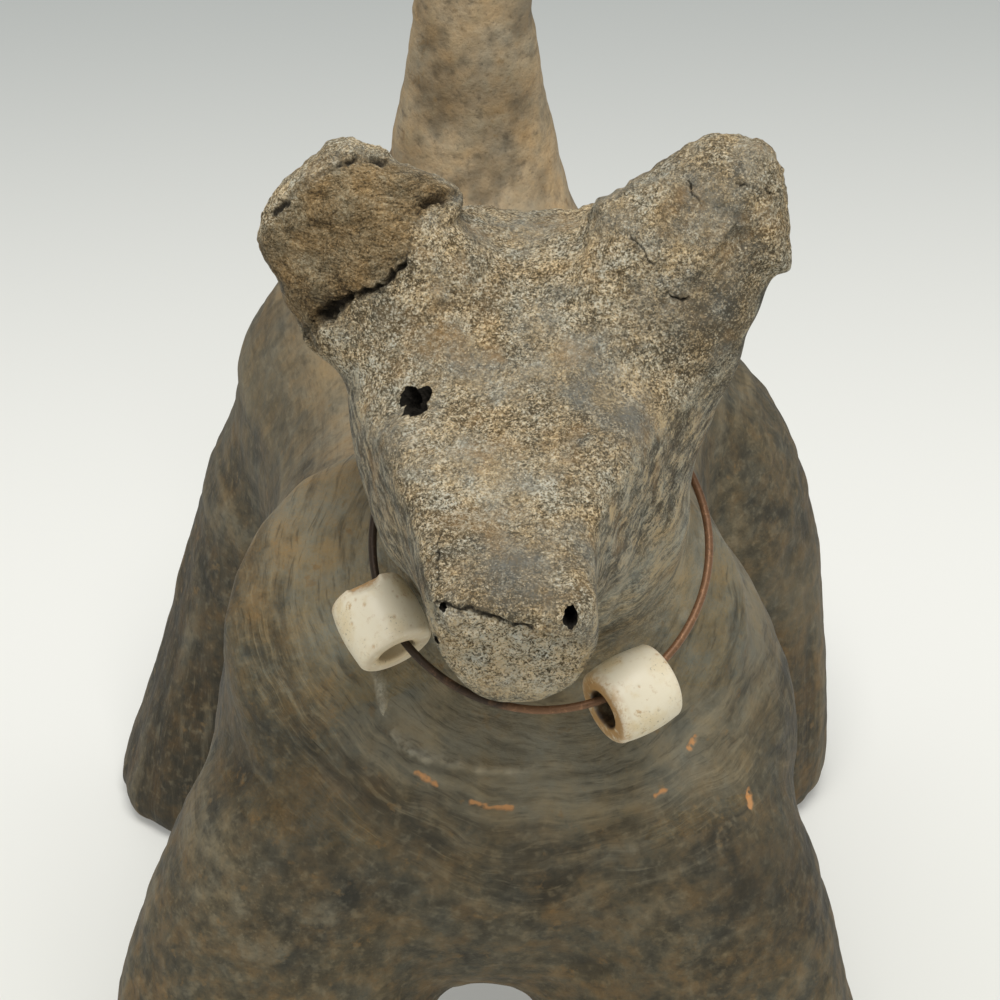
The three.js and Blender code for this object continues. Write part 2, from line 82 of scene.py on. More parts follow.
camera_place = collar_centre - toward_pixel(*COLLAR_PIXEL) * COLLAR_DISTANCE
camera = bpy.data.objects.new("viewpoint", bpy.data.cameras.new("viewpoint"))
camera.data.sensor_width = SENSOR_WIDTH
camera.data.lens = SENSOR_WIDTH * FOCAL_PIXELS / IMAGE_SIDE
camera.data.clip_start = 0.01
camera.data.clip_end = 20.0
camera.matrix_world = (
    Matrix.Translation(camera_place)
    @ Matrix((camera_right, camera_up, camera_back)).transposed().to_4x4()
)
bpy.context.scene.collection.objects.link(camera)
bpy.context.scene.camera = camera
bpy.context.scene.view_settings.view_transform = "Standard"


# Studio. The dog stands on a matt paper sweep, near white in front and grey behind, lit faintly from below.
# One wide lamp hangs overhead, a little before the dog, in an even grey room.
PAPER_RADIUS = 2.5
PAPER_SHADES = (
    (0.33, (0.575, 0.579, 0.553, 1)), (0.50, (0.612, 0.615, 0.593, 1)), (1.0, (0.315, 0.333, 0.330, 1)),
)
PAPER_NEAR_Y = -0.20
PAPER_FAR_Y = 0.36
PAPER_GLOW = 0.36
ROOM_COLOUR = (0.50, 0.50, 0.485, 1)
LAMP_PLACE = (0.02, -0.34, 0.90)
LAMP_SIDE = 0.5
LAMP_POWER = 7.6
LAMP_COLOUR = (1.0, 0.985, 0.95)


class Shade:
    """A node socket. Arithmetic on it adds Math nodes, and node() adds any other node."""

    def __init__(self, tree, socket=None):
        self.tree = tree
        self.socket = socket

    def node(self, kind, settings=None, output=0, **values):
        """New node: its settings come first, then each socket's value or link."""
        made = self.tree.nodes.new(kind)
        for key, value in (settings or {}).items():
            if key == "interpolation":
                made.color_ramp.interpolation = value
            elif key == "stops":
                while len(made.color_ramp.elements) < len(value):
                    made.color_ramp.elements.new(1)
                for element, (position, colour) in zip(made.color_ramp.elements, value):
                    element.position = position
                    element.color = colour
            else:
                setattr(made, key, value)
        for key, value in values.items():
            socket = made.inputs[int(key[1:])] if key[0] == "_" else made.inputs[key.replace("_", " ")]
            if isinstance(value, Shade):
                self.tree.links.new(value.socket, socket)
            else:
                socket.default_value = value
        return Shade(self.tree, made.outputs[output])

    def math(self, operation, *values):
        sockets = {f"_{index}": value for index, value in enumerate(values)}
        return self.node("ShaderNodeMath", {"operation": operation}, **sockets)

    def __add__(self, other):
        return self.math("ADD", self, other)

    def __radd__(self, other):
        return self.math("ADD", other, self)

    def __sub__(self, other):
        return self.math("SUBTRACT", self, other)

    def __rsub__(self, other):
        return self.math("SUBTRACT", other, self)

    def __mul__(self, other):
        return self.math("MULTIPLY", self, other)

    def __rmul__(self, other):
        return self.math("MULTIPLY", other, self)

    def __truediv__(self, other):
        return self.math("DIVIDE", self, other)

    def __rtruediv__(self, other):
        return self.math("DIVIDE", other, self)

    def above(self, low, high):
        """0 below low, 1 above high, and smooth between them."""
        return self.node(
            "ShaderNodeMapRange", {"interpolation_type": "SMOOTHSTEP"},
            Value=self, From_Min=low, From_Max=high,
        )


def new_material(name):
    """Empty material, with its Principled shader and the shades to build it from."""
    material = bpy.data.materials.new(name)
    material.use_nodes = True
    return material, material.node_tree.nodes["Principled BSDF"], Shade(material.node_tree)


def new_object(name, mesh):
    made = bpy.data.objects.new(name, mesh)
    bpy.context.scene.collection.objects.link(made)
    return made


paper_mesh = bpy.data.meshes.new("paper_sweep")
shape = bmesh.new()
bmesh.ops.create_circle(shape, cap_ends=True, segments=96, radius=PAPER_RADIUS)
shape.to_mesh(paper_mesh)
shape.free()
paper = new_object("paper_sweep", paper_mesh)
paper_finish, paper_shader, shade = new_material("paper")
paper_place = shade.node("ShaderNodeTexCoord", output=3)
paper_along = shade.node("ShaderNodeSeparateXYZ", Vector=paper_place, output=1)
paper_share = (paper_along - PAPER_NEAR_Y) / (PAPER_FAR_Y - PAPER_NEAR_Y)
paper_colour = shade.node(
    "ShaderNodeValToRGB", {"stops": PAPER_SHADES, "interpolation": "EASE"}, Fac=paper_share,
)
paper_finish.node_tree.links.new(paper_colour.socket, paper_shader.inputs["Base Color"])
paper_finish.node_tree.links.new(paper_colour.socket, paper_shader.inputs["Emission Color"])
paper_shader.inputs["Emission Strength"].default_value = PAPER_GLOW
paper_shader.inputs["Roughness"].default_value = 0.95
paper_shader.inputs["Specular IOR Level"].default_value = 0.1
paper_mesh.materials.append(paper_finish)

room = bpy.data.worlds.new("grey_room")
room.use_nodes = True
room.node_tree.nodes["Background"].inputs["Color"].default_value = ROOM_COLOUR
bpy.context.scene.world = room
lamp = bpy.data.objects.new("overhead_lamp", bpy.data.lights.new("overhead_lamp", "AREA"))
lamp.data.size = LAMP_SIDE
lamp.data.energy = LAMP_POWER
lamp.data.color = LAMP_COLOUR
lamp.location = LAMP_PLACE
lamp.rotation_mode = "QUATERNION"
lamp.rotation_quaternion = (collar_centre - lamp.location).to_track_quat("-Z", "Y")
bpy.context.scene.collection.objects.link(lamp)


# Joined clay. The ten pieces were pressed together wet and their seams smeared over with slip,
# so one skin is drawn over all of them, worked by hand, and then parted again at the seams.
MM = 0.001
CLAY = (
    "torso", "front_left_leg", "front_right_leg", "rear_left_leg", "rear_right_leg",
    "tail", "neck", "head", "left_ear", "right_ear",
)
SKIN_STEP = 1.0
SEAM_OVERLAP = 0.25
FACET_STEPS = 8
FILLET_STEPS = 46
FILLET_SHARE = 0.5
CREST_SHARE = 0.05
EAR_FILLETS = ((440, 262), (600, 280))
EAR_FILLET_REACH = (8.0, 17.0)
EAR_FILLET_STEPS = 420
PALM_LUMP = 19.0
PALM_HEIGHT = 0.5
THUMB_LUMP = 6.5
THUMB_HEIGHT = 0.16
NOISE_SHIFT = 31.7
NECK_ROUND = 14.0
STROKE_WIDTH = 1.5
STROKE_LENGTH = 14.0
STROKE_TURN = 2.6
STROKE_HEIGHT = 0.15
FOLD_WIDTH = 4.2
FOLD_LENGTH = 34.0
FOLD_TURN = 1.4
FOLD_HEIGHT = 0.34
MOTTLE_LUMP = 2.6
MOTTLE_HEIGHT = 0.12
RING_REACH = (26.0, 40.0)
RING_RISE = (-44.0, -28.0)
LEG_RISE = (20.0, 44.0)
DRAWN_RISE = (-2.0, 5.0)
HEAD_SEAT = (1.83, -45.80, 96.97)
HEAD_ACROSS = (0.9954, -0.0958, 0.0)
HEAD_FORWARD = (-0.0906, -0.9412, -0.3256)
HEAD_UP = (-0.0312, -0.3241, 0.9455)
MUZZLE_SECTIONS = (
    (-6.0, 0.0, 16.0, -0.8, 10.8), (2.0, -1.5, 13.0, -2.0, 11.5),
    (13.0, -1.5, 8.8, 1.5, 8.0), (25.0, 0.0, 7.2, 2.9, 6.6),
)
ROUND_POWER = 2.8
SQUARE_POWER = 6.0
PINCH_BEFORE = (-2.0, 6.0)
PINCH_RISE = (0.0, 0.35)
PINCH_FOOT = -12.0
JAW_TAPER = 0.26
JAW_TOP = 5.0
JAW_FALL = (0.0, 9.0)
JAW_BEFORE = (10.0, 21.0)
JAW_FOOT = (-20.0, -13.0)
PIXELS_PER_MM = 10.5
EAR_DRAWS = (
    ((705, 148), (714, 136)), ((750, 165), (766, 144)), ((790, 190), (785, 172)), ((800, 215), (793, 226)),
    ((795, 245), (791, 267)), ((775, 292), (770, 284)), ((758, 333), (752, 333)), ((645, 187), (628, 188)),
    ((680, 155), (668, 158)), ((262, 215), (261, 224)), ((275, 260), (264, 256)), ((300, 305), (286, 302)),
    ((325, 350), (304, 346)), ((330, 148), (336, 141)), ((385, 165), (386, 158)), ((410, 190), (428, 177)),
    ((425, 205), (458, 196)), ((614, 212), (597, 204)), ((480, 216), (478, 208)),
)
EAR_DRAW_REACH = 26.0
EAR_DRAW_RISE = (0.0, 4.0)
EAR_DRAW_BEFORE = (2.0, 10.0)
HEAD_BACK = -32.0


def grown(node, by):
    """Shape of a CAD node with its skin moved out by some millimetres."""
    shape = bmesh.new()
    shape.from_mesh(frame["nodes"][node].data)
    bmesh.ops.remove_doubles(shape, verts=shape.verts, dist=1e-7)
    bmesh.ops.recalc_face_normals(shape, faces=shape.faces)
    shape.normal_update()
    for vertex in shape.verts:
        vertex.co += vertex.normal * by * MM
    return shape


def mesh_from(shape, name):
    mesh = bpy.data.meshes.new(name)
    shape.to_mesh(mesh)
    shape.free()
    return mesh


def with_modifier(source, kind, **settings):
    """Mesh of an object after one modifier."""
    modifier = source.modifiers.new(kind, kind)
    for key, value in settings.items():
        setattr(modifier, key, value)
    mesh = bpy.data.meshes.new_from_object(source.evaluated_get(bpy.context.evaluated_depsgraph_get()))
    source.modifiers.remove(modifier)
    return mesh


def read_values(rows, name, kind=np.int32, width=1):
    """One property of a mesh's points, edges, faces or marks, as a flat array."""
    flat = np.empty(len(rows) * width, kind)
    rows.foreach_get(name, flat)
    return flat


def read_rows(rows, name):
    """A mesh's points, normals or centres as rows of three numbers."""
    return read_values(rows, name, np.float32, 3).reshape(-1, 3).astype(float)


def read_points(mesh):
    """Places of a mesh's points in millimetres."""
    return read_rows(mesh.vertices, "co") / MM


def read_normals(mesh):
    return read_rows(mesh.vertex_normals, "vector")


def write_points(mesh, points):
    mesh.vertices.foreach_set("co", (points * MM).astype(np.float32).ravel())
    mesh.update()


def add_marks(mesh, marks):
    """Keeps named shares, one for each point of a mesh, for the looks to read."""
    for name, values in marks.items():
        kept = mesh.attributes.new(name, "FLOAT", "POINT")
        kept.data.foreach_set("value", values.astype(np.float32))


def drift_to_mean(mesh, chosen):
    """Function that gives the chosen points' way to the mean of their neighbours."""
    pairs = read_values(mesh.edges, "vertices", width=2)
    ends = np.concatenate((pairs[0::2], pairs[1::2]))
    others = np.concatenate((pairs[1::2], pairs[0::2]))[chosen[ends]]
    ranks = (np.cumsum(chosen) - 1)[ends[chosen[ends]]]
    count = np.bincount(ranks)[:, None]

    def drift(points):
        sums = [np.bincount(ranks, points[others, axis]) for axis in range(3)]
        return np.stack(sums, 1) / count - points[chosen]

    return drift


def lumps(points, size, seed):
    """Smooth noise between -1 and 1 whose lumps have about that size in millimetres."""
    shifted = points / size + NOISE_SHIFT * seed
    return np.array([noise.noise(point) for point in shifted.tolist()])


def ramp_between(values, low, high):
    share = np.clip((values - low) / (high - low), 0, 1)
    return share * share * (3 - 2 * share)


def sight_finder(target):
    """Function from a pixel to the place and outward direction, in mm, where it meets a mesh."""
    tree = BVHTree.FromObject(target, bpy.context.evaluated_depsgraph_get())

    def find(x, y):
        place, outward, index, distance = tree.ray_cast(camera_place, toward_pixel(x, y))
        return np.array(place) / MM, np.array(outward)

    return find


def in_head_frame(points):
    """How far places lie across, before and above the head's seat."""
    out = points - HEAD_SEAT
    return out @ HEAD_ACROSS, out @ HEAD_FORWARD, out @ HEAD_UP


def pixels_of(points):
    """Where places in mm fall in the picture."""
    out = points * MM - np.array(camera_place)
    depth = -(out @ np.array(camera_back))
    across = out @ np.array(camera_right) / depth
    upward = out @ np.array(camera_up) / depth
    return np.stack((IMAGE_SIDE / 2 + FOCAL_PIXELS * across, IMAGE_SIDE / 2 - FOCAL_PIXELS * upward), 1)


joined = bmesh.new()
for node in CLAY:
    part_mesh = mesh_from(grown(node, SEAM_OVERLAP), node)
    joined.from_mesh(part_mesh)
    bpy.data.meshes.remove(part_mesh)
skin = new_object("clay_skin", mesh_from(joined, "clay_skin"))
skin.data = with_modifier(skin, "REMESH", mode="VOXEL", voxel_size=SKIN_STEP * MM)

# Facets are rubbed away first, then the seams are filled, where the skin is hollow.
points = read_points(skin.data)
drift = drift_to_mean(skin.data, np.ones(len(points), bool))
for step in range(FACET_STEPS):
    points += 0.5 * drift(points)
    points -= 0.5 * drift(points)
for step in range(FILLET_STEPS):
    if step % 4 == 0:
        write_points(skin.data, points)
        normals = read_normals(skin.data)
    pull = drift(points)
    hollow = np.einsum("ij,ij->i", pull, normals) > 0
    points += pull * np.where(hollow, FILLET_SHARE, CREST_SHARE)[:, None]
write_points(skin.data, points)

# The hollows between the forehead and the ears are filled almost flush.
on_skin = sight_finder(skin)
to_ears = [np.linalg.norm(points - on_skin(*pixel)[0], axis=1) for pixel in EAR_FILLETS]
at_ears = 1 - ramp_between(np.minimum(*to_ears), *EAR_FILLET_REACH)
chosen = at_ears > 0
drift = drift_to_mean(skin.data, chosen)
for step in range(EAR_FILLET_STEPS):
    if step % 12 == 0:
        write_points(skin.data, points)
        normals = read_normals(skin.data)[chosen]
    pull = drift(points)
    hollow = np.einsum("ij,ij->i", pull, normals) > 0
    points[chosen] += pull * (at_ears[chosen] * hollow * FILLET_SHARE)[:, None]
write_points(skin.data, points)
points -= SEAM_OVERLAP * read_normals(skin.data)
write_points(skin.data, points)
skin.data = with_modifier(skin, "SUBSURF", levels=1)

# The muzzle's upper edges are pinched square and its jaw is pressed narrower.
points = read_points(skin.data)
across, before, above = in_head_frame(points)
sections = np.array(MUZZLE_SECTIONS).T
middle, half_width, centre, half_height = (np.interp(before, sections[0], row) for row in sections[1:])
aside = (across - middle) / half_width
upright = (above - centre) / half_height
round_size = (np.abs(aside) ** ROUND_POWER + np.abs(upright) ** ROUND_POWER) ** (1 / ROUND_POWER)
square_size = (np.abs(aside) ** SQUARE_POWER + np.abs(upright) ** SQUARE_POWER) ** (1 / SQUARE_POWER)
pinched = ramp_between(before, *PINCH_BEFORE) * ramp_between(upright, *PINCH_RISE) * (above > PINCH_FOOT)
swell = (round_size / square_size - 1) * pinched
narrow = JAW_TAPER * ramp_between(JAW_TOP - above, *JAW_FALL) * ramp_between(before, *JAW_BEFORE)
narrow *= ramp_between(above, *JAW_FOOT)
points += np.outer((across - middle) * (swell - narrow), HEAD_ACROSS)
points += np.outer((above - centre) * swell, HEAD_UP)

# The ears' ends are drawn out and pinched to the outline that the photograph shows.
starts, ends = np.array(EAR_DRAWS, float).transpose(1, 0, 2)
from_starts = np.linalg.norm(pixels_of(points)[:, None] - starts, axis=2)
between_starts = np.linalg.norm(starts[:, None] - starts, axis=2)
weights = np.linalg.solve(np.exp(-(between_starts / EAR_DRAW_REACH) ** 2), ends - starts)
drawn = np.exp(-(from_starts / EAR_DRAW_REACH) ** 2) @ weights / PIXELS_PER_MM
ear_share = ramp_between(above, *EAR_DRAW_RISE) * (1 - ramp_between(before, *EAR_DRAW_BEFORE))
drawn *= (ear_share * (before > HEAD_BACK))[:, None]
points += np.outer(drawn[:, 0], camera_right) - np.outer(drawn[:, 1], camera_up)
write_points(skin.data, points)

# Marks of the palms and thumbs, and strokes that run round the neck, along the body and down the legs.
points = read_points(skin.data)
normals = read_normals(skin.data)
neck_centre = np.array(collar_centre) / MM
neck_axis = np.array(collar_axis)
from_neck = points - neck_centre
beside_neck = from_neck - (from_neck @ neck_axis)[:, None] * neck_axis
neck_radius = np.linalg.norm(beside_neck, axis=1)
neck_turn = beside_neck / neck_radius[:, None]
neck_rise = from_neck @ neck_axis
near_neck = (1 - ramp_between(neck_radius, *RING_REACH)) * ramp_between(neck_rise, *RING_RISE)
on_legs = 1 - ramp_between(points[:, 2], *LEG_RISE)


def stroked(width, length, turn, seed):
    """Noise drawn out round the neck's root, up the neck, along the body and down the legs."""
    rings = lumps(neck_turn * turn + neck_axis * (neck_radius / width)[:, None], 1, seed)
    drawn = lumps(neck_turn * NECK_ROUND / width + neck_axis * (neck_rise / length)[:, None], 1, seed + 1)
    body = lumps(points / (width, length, width), 1, seed + 2)
    legs = lumps(points / (width, width, length), 1, seed + 3)
    lower = legs * on_legs + body * (1 - on_legs)
    rings += (drawn - rings) * ramp_between(neck_rise, *DRAWN_RISE)
    return lower + (rings - lower) * near_neck


strokes = stroked(STROKE_WIDTH, STROKE_LENGTH, STROKE_TURN, 1)
folds = stroked(FOLD_WIDTH, FOLD_LENGTH, FOLD_TURN, 60)
relief = PALM_HEIGHT * lumps(points, PALM_LUMP, 14) + THUMB_HEIGHT * lumps(points, THUMB_LUMP, 15)
relief += MOTTLE_HEIGHT * lumps(points, MOTTLE_LUMP, 17) + STROKE_HEIGHT * strokes + FOLD_HEIGHT * folds
add_marks(skin.data, {"raised": 0.5 + 0.4 * strokes + 0.6 * folds})
points += normals * relief[:, None]
points[:, 2] = np.maximum(points[:, 2], 0)
write_points(skin.data, points)


# Marks of making and wear. Cracks opened where the ears were pressed on, the nose has worn to a grainy face,
# a ridge of slip runs round the root of the neck, knocks have bared the orange clay, and a lifted bead
# has rubbed a hollow in the neck. Lines and patches are given in pixels of the picture.
CRACKS = (
    (((468, 194), (446, 196), (424, 204)), 9.0, 1.3),
    (((424, 203), (415, 225), (408, 250), (402, 268)), 2.5, 0.12),
    (((404, 266), (388, 280), (375, 291), (350, 298), (335, 305)), 7.0, 0.9),
    (((345, 300), (322, 318), (304, 335), (312, 352)), 15.0, 1.6),
    (((275, 215), (300, 190), (345, 162), (385, 162)), 5.0, 0.35),
    (((631, 235), (640, 247), (649, 260), (656, 266)), 2.2, 0.2),
    (((656, 266), (665, 284), (672, 296), (681, 300), (692, 296)), 2.8, 0.3),
    (((688, 178), (692, 195), (702, 205)), 1.8, 0.15),
    (((738, 182), (750, 185), (760, 190), (770, 191)), 3.4, 0.35),
    (((438, 602), (455, 607), (470, 609), (490, 617), (515, 627), (532, 628)), 5.0, 0.35),
    (((445, 520), (438, 545), (437, 580)), 2.5, 0.2),
)
SCUFFS = (
    ((415, 773), (425, 778), (437, 786)),
    ((472, 803), (490, 808), (512, 807)),
    ((655, 796), (664, 790)),
    ((690, 748), (695, 736)),
    ((749, 790), (751, 808)),
)
EAR_FACE = (
    (252, 245), (275, 215), (300, 190), (345, 160), (385, 158), (430, 172), (466, 192), (430, 205), (412, 235),
    (405, 262), (385, 285), (350, 300), (325, 318), (300, 352), (272, 330),
)
NOSE_FACE = (
    (425, 600), (443, 603), (470, 609), (500, 621), (522, 626), (556, 634), (600, 650), (612, 670),
    (590, 700), (515, 725), (440, 705), (420, 650),
)
SHUT_EYE = (628, 386)
SHUT_EYE_REACH = 30.0
# Patches of lighter and darker tone: partly the clay's own tone, partly painted light and painted shade.
TONE_LIGHT_SHADE_PATCHES = (
    ((495, 490), 52, 0.9), ((445, 447), 45, 0.7), ((610, 290), 60, 0.4), ((520, 235), 45, 0.5),
    ((500, 590), 44, -2.2), ((560, 590), 30, -0.5), ((650, 540), 42, 1.3), ((685, 580), 30, 1.6),
    ((660, 500), 40, 1.2), ((700, 335), 50, -2.2), ((748, 240), 26, -1.8), ((720, 215), 40, -0.6),
    ((715, 165), 26, -0.7), ((700, 262), 12, 1.6), ((325, 292), 30, -1.3), ((285, 195), 30, 1.3),
    ((365, 148), 20, 1.0), ((735, 300), 34, -1.2), ((440, 570), 26, -1.2), ((385, 480), 40, -0.6),
    ((415, 550), 30, -0.8), ((600, 440), 34, -0.7),
)
BODY_TONE_LIGHT_SHADE_PATCHES = (
    ((745, 640), 50, -0.5), ((300, 800), 70, -1.3), ((760, 880), 70, -1.4), ((420, 720), 45, -0.2),
    ((260, 380), 70, 0.6), ((800, 600), 50, 0.8), ((520, 750), 70, 0.9), ((680, 570), 40, 1.8),
    ((720, 800), 50, 0.7),
)
SLATES = (((625, 425), 38), ((590, 390), 30), ((515, 575), 24), ((700, 300), 40), ((690, 190), 30))
OCHRES = (((455, 525), 15), ((490, 352), 10), ((640, 520), 14), ((430, 330), 30))
RIDGES = (
    (
        ((374, 660), (380, 685), (386, 720), (401, 744), (423, 757), (452, 765), (505, 770), (560, 768), (610, 760)),
        0.7,
    ),
    (((628, 545), (621, 572), (613, 598), (604, 620)), 0.35),
    (((703, 516), (700, 544), (698, 576), (692, 600), (684, 618)), 0.3),
)
EAR_RIDGES = (
    (((688, 274), (700, 262), (714, 248), (735, 228)), 0.55),
    (((690, 150), (705, 140), (735, 140), (765, 158), (778, 185)), 0.35),
    (((270, 222), (300, 184), (345, 154), (385, 156)), 0.4),
)
EAR_DENTS = (((748, 240), 24, 0.9), ((715, 195), 22, 0.4), ((690, 225), 16, 0.3), ((330, 250), 30, 0.4))
BEAD_RUB = (-8.8, -41.2, 83.9)
BEAD_RUB_DEPTH = 0.45
BEAD_RUB_REACH = (3.5, 7.5)
BURNISH_REACH = (21.0, 27.0)
DRAWN_UP_RISE = (-9.0, 1.0)
CHEST_FRONT = -20.0
NOSE_WEAR = 0.35
EAR_WIPE = 0.08
EYE_CRUMBLE = 0.5
RIDGE_HEIGHT = 0.7
RIDGE_WIDTH = 0.45
SHADOW_DROP = (0, 8)
SHADOW_WIDTH = 0.6
SCUFF_WIDTH = (0.6, 3.4)
SCUFF_DEPTH = 0.12
MARK_REACH = 14.0
HEAD_LUMP = 1.3
HEAD_LUMP_HEIGHT = 0.24
SAND_LUMP = 0.55
SAND_HEIGHT = 0.12


def way_to_line(spots, line):
    """Distance in pixels from each spot to a line through pixels."""
    nearest = np.full(len(spots), np.inf)
    for start, end in zip(line, line[1:]):
        step = np.subtract(end, start)
        share = np.clip((spots - start) @ step / (step @ step), 0, 1)
        nearest = np.minimum(nearest, np.linalg.norm(spots - start - share[:, None] * step, axis=1))
    return nearest


def depth_inside(spots, outline):
    """Distance in pixels from an outline, positive inside it."""
    closed = outline + outline[:1]
    inside = np.zeros(len(spots), bool)
    for (x0, y0), (x1, y1) in zip(closed, closed[1:]):
        if y0 != y1:
            crossing = x0 + (spots[:, 1] - y0) * (x1 - x0) / (y1 - y0)
            inside ^= ((y0 > spots[:, 1]) != (y1 > spots[:, 1])) & (spots[:, 0] < crossing)
    return np.where(inside, 1, -1) * way_to_line(spots, closed)


def split_faces(mesh, chosen):
    """Splits each chosen face in four."""
    corners = read_values(mesh.polygons, "loop_total")
    edge_of_corner = read_values(mesh.loops, "edge_index")
    wanted = np.unique(edge_of_corner[np.repeat(chosen, corners)])
    shape = bmesh.new()
    shape.from_mesh(mesh)
    shape.edges.ensure_lookup_table()
    edges = [shape.edges[index] for index in wanted.tolist()]
    bmesh.ops.subdivide_edges(shape, edges=edges, cuts=1, use_grid_fill=True)
    shape.to_mesh(mesh)
    shape.free()


def near_marks(centres, spots):
    """Faces that lie along a crack or scuff."""
    lines = [line for line, width, depth in CRACKS] + list(SCUFFS)
    return (np.min([way_to_line(spots, line) for line in lines], axis=0) < MARK_REACH) & (centres[:, 1] < 0)


def above_seam(before, above):
    """Height over a plane through the head's seat that falls towards the nose."""
    return above + 0.25 * np.maximum(before - 10, 0)


centres = read_rows(skin.data.polygons, "center") / MM
across, before, above = in_head_frame(centres)
on_top = (above_seam(before, above) > 0) & (before > -30)
split_faces(skin.data, on_top | near_marks(centres, pixels_of(centres)))
centres = read_rows(skin.data.polygons, "center") / MM
split_faces(skin.data, near_marks(centres, pixels_of(centres)))

points = read_points(skin.data)
normals = read_normals(skin.data)
spots = pixels_of(points)
across, before, above = in_head_frame(points)
upward = normals @ HEAD_UP
ahead = normals @ HEAD_FORWARD
facing = ramp_between(normals @ np.array(camera_back), 0.02, 0.2)
ragged = 2.2 * lumps(points, 1.1, 21) + 1.6 * lumps(points, 0.4, 22)
broken = 0.3 + 0.7 * ramp_between(lumps(points, 2.3, 29), -0.28, 0.05)
crumbly = ramp_between(lumps(points, 0.8, 38), -1.0, -0.2)
on_head = ramp_between(above_seam(before, above), 1, 5) * (before > HEAD_BACK)
on_ears = on_head * ramp_between(above, 9, 12)
top_face = ramp_between(upward + 0.2 * lumps(points, 4, 23), 0.15, 0.5)
sandy = on_head * np.maximum(np.maximum(top_face, ramp_between(ahead, 0.45, 0.7)), on_ears)
worn = on_head * facing * ramp_between(depth_inside(spots, NOSE_FACE) + ragged, -1, 3) * (before > 18)
ear_depth = depth_inside(spots, EAR_FACE) + 2 * ragged + 5 * lumps(points, 3, 37)
wiped = on_head * ramp_between(ear_depth, -7, 9) * (before < 0)
from_eye = np.linalg.norm(spots - SHUT_EYE, axis=1) + 2 * ragged
shut_eye = on_head * facing * (1 - ramp_between(from_eye, 3, SHUT_EYE_REACH))
cheek = ramp_between(above_seam(before, above), -11, -3) * (before > HEAD_BACK)
push = -NOSE_WEAR * worn - EAR_WIPE * wiped - EYE_CRUMBLE * shut_eye ** 2
push += 0.12 * wiped * lumps(points / (4, 0.7, 0.7), 1, 31) + 0.25 * shut_eye * lumps(points, 0.8, 32)
crack = np.zeros(len(points))
crumbs = np.zeros(len(points))
wander = np.stack([3.4 * lumps(points, 1.2, seed) + 2.2 * lumps(points, 0.5, seed + 1) for seed in (33, 35)], 1)
for line, width, depth in CRACKS:
    way = way_to_line(spots + wander, line) + 0.16 * width * ragged
    opened = on_head * facing * broken * crumbly * (1 - ramp_between(way, 0.1 * width, 0.7 * width))
    crack = np.maximum(crack, opened)
    crumbs = np.maximum(crumbs, (depth > 0.5) * on_head * facing * np.exp(-(way / 13) ** 2))
    push = np.minimum(push, -depth * opened)
scuff = np.zeros(len(points))
in_front = facing * (points[:, 1] < CHEST_FRONT)
on_chest = in_front * (1 - on_head)
for line in SCUFFS:
    way = way_to_line(spots, line) + 0.9 * ragged
    scuff = np.maximum(scuff, on_chest * (1 - ramp_between(way, *SCUFF_WIDTH)))
blurred = spots + 2 * wander


def patches_at(places, share=on_head):
    """Soft-edged patches on the head, or on another share of the clay, round some pixels."""
    near = [np.exp(-(np.linalg.norm(blurred - pixel, axis=1) / size) ** 2) for pixel, size in places]
    return share * facing * np.max(near, axis=0)


# Painted light and painted shade with the clay's own tone, made darker round the deep cracks.
tone = sum(amount * patches_at(((pixel, size),)) for pixel, size, amount in TONE_LIGHT_SHADE_PATCHES) - crumbs
tone += sum(amount * patches_at(((pixel, size),), 1 - on_head) for pixel, size, amount in BODY_TONE_LIGHT_SHADE_PATCHES)
neck_rise = (points - neck_centre) @ neck_axis
neck_radius = np.linalg.norm(np.cross(points - neck_centre, neck_axis), axis=1)
burnished = 1 - ramp_between(neck_radius, *BURNISH_REACH)
burnished *= (1 - cheek) * ramp_between(neck_rise, *RING_RISE)
drawn_up = ramp_between(neck_rise, *DRAWN_UP_RISE) * burnished
# Painted light: the pale burnish is made stronger towards the front of the neck's root.
burnished *= 0.6 + 0.4 * ramp_between(neck_centre[1] - points[:, 1], 2, 16)
cheek = np.maximum(cheek, 0.75 * drawn_up)
# The ridges' crests are painted paler, partly pale slip and partly painted highlight, and a painted shadow is laid
# just below them.
ridge = np.zeros(len(points))
shadow = np.zeros(len(points))
for line, height in RIDGES:
    way = (way_to_line(spots + 0.6 * wander, line) + 1.5 * lumps(points, 6, 24)) / PIXELS_PER_MM
    below = way_to_line(spots + 0.6 * wander - SHADOW_DROP, line) / PIXELS_PER_MM
    end = in_front * (1 - 0.75 * ramp_between(spots[:, 0] * (height > 0.5), 450, 600)) * height / RIDGE_HEIGHT
    ridge = np.maximum(ridge, end * broken * np.exp(-(way / RIDGE_WIDTH) ** 2))
    shadow = np.maximum(shadow, end * np.exp(-(below / SHADOW_WIDTH) ** 2))
push -= BEAD_RUB_DEPTH * (1 - ramp_between(np.linalg.norm(points - BEAD_RUB, axis=1), *BEAD_RUB_REACH))
push += RIDGE_HEIGHT * ridge - SCUFF_DEPTH * scuff + 0.25 * crumbs * lumps(points, 0.7, 43)
for line, height in EAR_RIDGES:
    push += height * on_ears * facing * np.exp(-(way_to_line(spots + 2 * wander, line) / 6) ** 2)
for pixel, size, depth in EAR_DENTS:
    push -= depth * patches_at(((pixel, size),))
layers = lumps(points @ np.stack((HEAD_ACROSS, HEAD_FORWARD, HEAD_UP), 1) / (1.7, 1.0, 0.75), 1, 25)
push += worn * (0.32 * layers + 0.15 * lumps(points, 0.5, 26))
coarse = sandy * (1 - 0.75 * wiped)
push += coarse * (HEAD_LUMP_HEIGHT * lumps(points, HEAD_LUMP, 27) + SAND_HEIGHT * lumps(points, SAND_LUMP, 28))
write_points(skin.data, points + normals * push[:, None])
